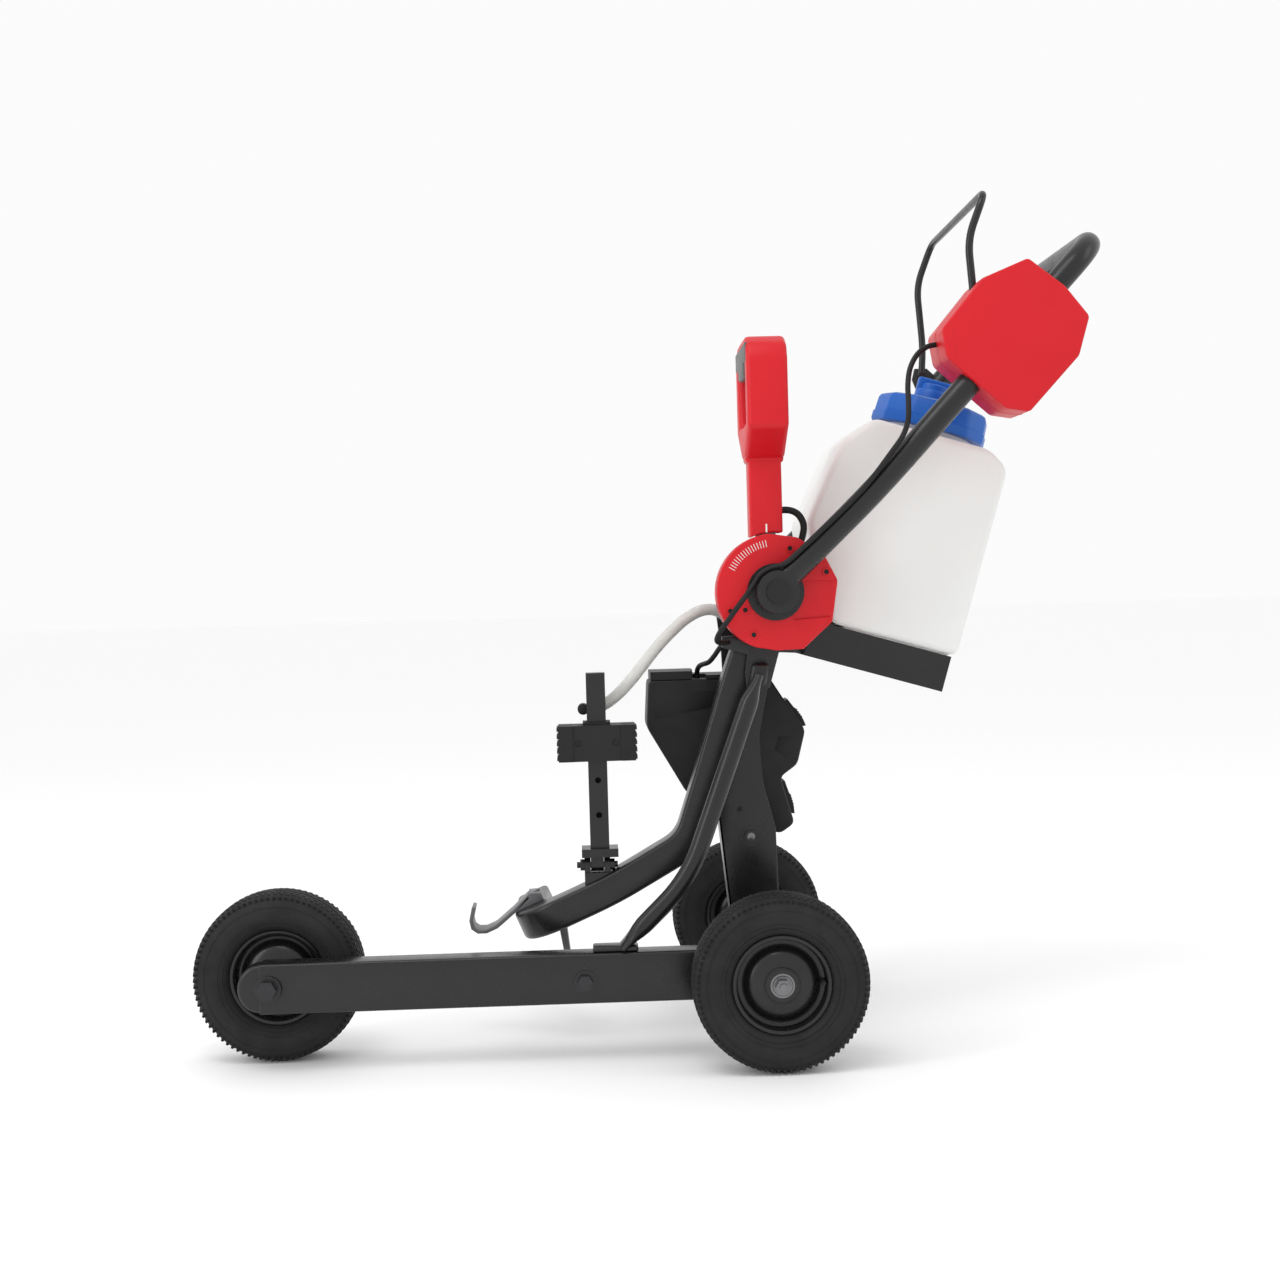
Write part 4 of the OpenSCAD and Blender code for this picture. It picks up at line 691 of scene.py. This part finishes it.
tilt = math.radians(16.5)
tankFrame = Matrix.Translation((0.333, 0.0, 0.527)) @ Matrix.Rotation(tilt, 4, "Y")
tankSide = [(87, 0), (88, 256.7), (58, 276), (-102, 276), (-134, 237.4), (-152, 121.4), (-88, 0)]
mesh = slab(softCorners(tankSide, 13.0, 5), -100, 100, 11.0, 6, None, 40.0)
cuboid((-70, -91, -46.5), (76, 91, 6), 4.0, mesh)
turnedRing([(52, 270), (60, 270), (60, 321), (52, 321)], (-13, 0, 0), mesh, 64, "Z")
bmesh.ops.transform(mesh, matrix=tankFrame, verts=mesh.verts)
finish("waterTank", mesh, "tank_plastic", "tank", ("water_tank",), 45.0)

mesh = bmesh.new()
capRing = []
for step in range(120):
    angle = 2 * math.pi * step / 120
    off = (angle * 12 / (2 * math.pi)) % 1.0 - 0.5
    capRing.append((angle, 77.2 / math.cos(off * 2 * math.pi / 12)))
levels = [(286.2, 0.985), (288.5, 1.0), (299.0, 1.0), (300.2, 0.978), (318.5, 0.965), (323.0, 0.935), (325.6, 0.87),
          (325.6, 0.16)]
rings = []
for z, share in levels:
    rings.append([mesh.verts.new(((-13 + r * share * math.cos(a)) / 1000.0, r * share * math.sin(a) / 1000.0,
                                  z / 1000.0)) for a, r in capRing])
for one, two in zip(rings, rings[1:]):
    for j in range(120):
        k = (j + 1) % 120
        mesh.faces.new((one[j], one[k], two[k], two[j]))
mesh.faces.new(rings[-1])
mesh.faces.new(rings[0][::-1])
bmesh.ops.transform(mesh, matrix=tankFrame, verts=mesh.verts)
finish("tankCap", mesh, "blue_plastic", "cap", ("tank_cap",), 35.0)

mesh = turnedRing([(0.01, 326.5), (23.5, 326.5), (24.8, 328.2), (24.8, 340), (23, 343.5), (19.5, 344.6),
                   (19.5, 350.5), (17.5, 352.3), (0.01, 352.3)], (-19, 0, 0), None, 48, "Z")
cuboid((-43.6, -5.8, 336), (5.6, 5.8, 360), 3.0, mesh)
bmesh.ops.transform(mesh, matrix=tankFrame, verts=mesh.verts)
finish("capKnob", mesh, "blue_plastic", "knob", ("cap_knob",), 35.0)
print("tank made")


# Saw shroud and its catches

shroudSide = [(10, 478), (176, 478), (196, 446), (224, 404), (212, 357), (188, 340), (206, 276), (186, 262),
              (130, 282), (58, 323), (6, 414)]


# A half of the shroud, as a closed slab with rounded corners and edges
def shroudHalf(low, high):
    own = slab(softCorners(shroudSide, 7.0, 3), low, high, 3.0, 3, None, 40.0)
    return own


mesh = shroudHalf(-4.9, 34.6)
finish("shroudNear", mesh, "black_plastic", "boom", ("shroud_near",), 35.0)
mesh = shroudHalf(35.4, 84.9)
finish("shroudFar", mesh, "black_plastic", "boom", ("shroud_far",), 35.0)
mesh = bmesh.new()
slab([(14, 455), (40, 462), (112, 462), (106, 440), (16, 424)], -5.0, -3.5, 1.0, 2, mesh)
slab([(186, 396), (208, 398), (214, 386), (196, 366), (180, 378)], -5.0, -3.5, 1.0, 2, mesh)
finish("shroudPanels", mesh, "black_plastic", "boom")
print("shroud made")


# Hook and small brackets

hookLine = [(-234, 184), (-238, 166), (-236, 156), (-229, 151), (-218, 151), (-204, 157), (-180, 177), (-160, 196)]


def stripOutline(line, half):
    points = [Vector(p) for p in line]
    one, two = [], []
    for i, spot in enumerate(points):
        ahead = (points[min(i + 1, len(points) - 1)] - points[max(i - 1, 0)]).normalized()
        across = Vector((-ahead.y, ahead.x))
        one.append(tuple(spot + across * half))
        two.append(tuple(spot - across * half))
    return one + two[::-1]


mesh = slab(stripOutline(hookLine, 2.5), -60.9, -21.1, 1.0, 3, None, 12.0)
slope = math.radians(23.2)
ahead = Vector((math.cos(slope), math.sin(slope)))
above = Vector((-math.sin(slope), math.cos(slope)))
top = Vector((-152, 165)) + 20 * above
pad = [top - 22.5 * ahead + 0.2 * above, top + 21.5 * ahead + 0.2 * above, top + 21.5 * ahead + 10 * above,
       top + 6 * ahead + 15.8 * above, Vector((-158, 200)), Vector((-163.5, 194))]
slab([tuple(p) for p in pad], -60.9, -21.1, 1.5, 3, mesh)
slab([(-121.5, 145), (-113.8, 98.2), (-90.4, 98.2), (-92.2, 105.8), (-107, 105.8), (-111.5, 147)], -11.9, 27.9, 1.0, 2,
     mesh)
finish("hookBracket", mesh, "grey_paint", "boom", ("hook_bracket",), 40.0)
mesh = bmesh.new()
turnedRing([(0.01, 0), (8.4, 0), (8.4, 4), (7.2, 5.6), (0.01, 5.6)], (0, 0, 0), mesh, 6, "Z")
place = Matrix.Translation(((top.x + 12 * ahead.x) / 1000, -0.041, (top.y + 12 * ahead.y) / 1000)) @ \
    Matrix.Rotation(-slope, 4, "Y") @ Matrix.Translation((0, 0, 0.0085))
bmesh.ops.transform(mesh, matrix=place, verts=mesh.verts)
finish("hookNut", mesh, "grey_paint", "boom", (), 30.0)
print("brackets made")


# Upright, as two sheets with a folded front

uprightSide = [(116, 105), (98, 290), (90, 360), (108, 450), (140, 540), (150, 612), (192, 612), (196, 560),
               (258, 521), (254, 504), (212, 512), (178, 514), (168, 470), (155, 401), (158, 340), (174, 278),
               (177, 105)]
mesh = bmesh.new()
for low in (-60.0, -23.0):
    slab(softCorners(uprightSide, 8.0, 3), low, low + 3.0, 0.7, 2, mesh, 30.0)
front = [Vector(p) for p in uprightSide[:6]]
for one, two in zip(front, front[1:]):
    ahead = (two - one).normalized()
    across = Vector((ahead.y, -ahead.x)) * 3.0
    slab([tuple(one), tuple(two), tuple(two + across), tuple(one + across)], -60.0, -20.0, 0.4, 1, mesh, 50.0)
rod(156, 111, -60, -20, 48, mesh, 1.0)
turnedRing([(6, 0), (9, 0), (9, -0.8), (6, -0.8)], (126, -60, 305), mesh, 24)
finish("upright", mesh, "black_paint", "frame", ("rear_upright",), 35.0)
mesh = rod(126, 305, -60.3, -58, 7.0)
finish("uprightHole", mesh, "rubber", "frame")
mesh = rod(140, 268, -65.2, -61, 11.0, None, 1.0)
finish("uprightBoltEnd", mesh, "steel", "frame")


# Dark sheet inside the post as painted shade behind its holes, and the hose's run behind the post

# A thin black sheet inside the post: painted shade seen through the post's holes
mesh = cuboid((-71, -89.6, 272), (-55, -88.4, 490), 0.0)
finish("postHoleShade", mesh, "rubber", "post")
mesh = rod(-80, 446, -74, -54, 15, None, 1.5)
cuboid((-85.5, -70, 440), (-76, -58, 452), 2.0, mesh)
finish("hoseEnd", mesh, "black_plastic", "post", ("hose_connector",))
print("upright made")


# Floor and light

floorMesh = bmesh.new()
bmesh.ops.create_grid(floorMesh, x_segments=1, y_segments=1, size=40.0)
floorData = bpy.data.meshes.new("floor")
floorMesh.to_mesh(floorData)
floorMesh.free()
floor = bpy.data.objects.new("floor", floorData)
bpy.context.collection.objects.link(floor)
floorMaterial = makeMaterial("floorPaper", {"base": (0.975, 0.975, 0.975), "worn": (0.985, 0.985, 0.985),
                                            "rough": (0.6, 0.7), "bump": 0.02, "shade": 0.3})
floorData.materials.append(floorMaterial)


def areaLight(name, spot, target, size, power):
    data = bpy.data.lights.new(name, "AREA")
    data.shape = "RECTANGLE"
    data.size = size[0]
    data.size_y = size[1]
    data.energy = power
    light = bpy.data.objects.new(name, data)
    bpy.context.collection.objects.link(light)
    light.location = spot
    light.rotation_euler = (Vector(target) - Vector(spot)).to_track_quat("-Z", "Y").to_euler()
    return light


areaLight("topLight", (-0.8, -1.4, 3.2), (0.0, 0.0, 0.5), (2.0, 0.9), 22.0)
areaLight("leftLight", (-3.0, -1.8, 1.8), (0.0, 0.0, 0.5), (0.5, 2.4), 26.0)
areaLight("rightLight", (3.0, -1.2, 2.2), (0.1, 0.0, 0.6), (0.8, 2.0), 10.0)
world = bpy.data.worlds.new("world")
world.use_nodes = True
world.node_tree.nodes["Background"].inputs["Color"].default_value = (1.0, 1.0, 1.0, 1.0)
world.node_tree.nodes["Background"].inputs["Strength"].default_value = 0.97
bpy.context.scene.world = world
bpy.context.scene.view_settings.view_transform = "Standard"
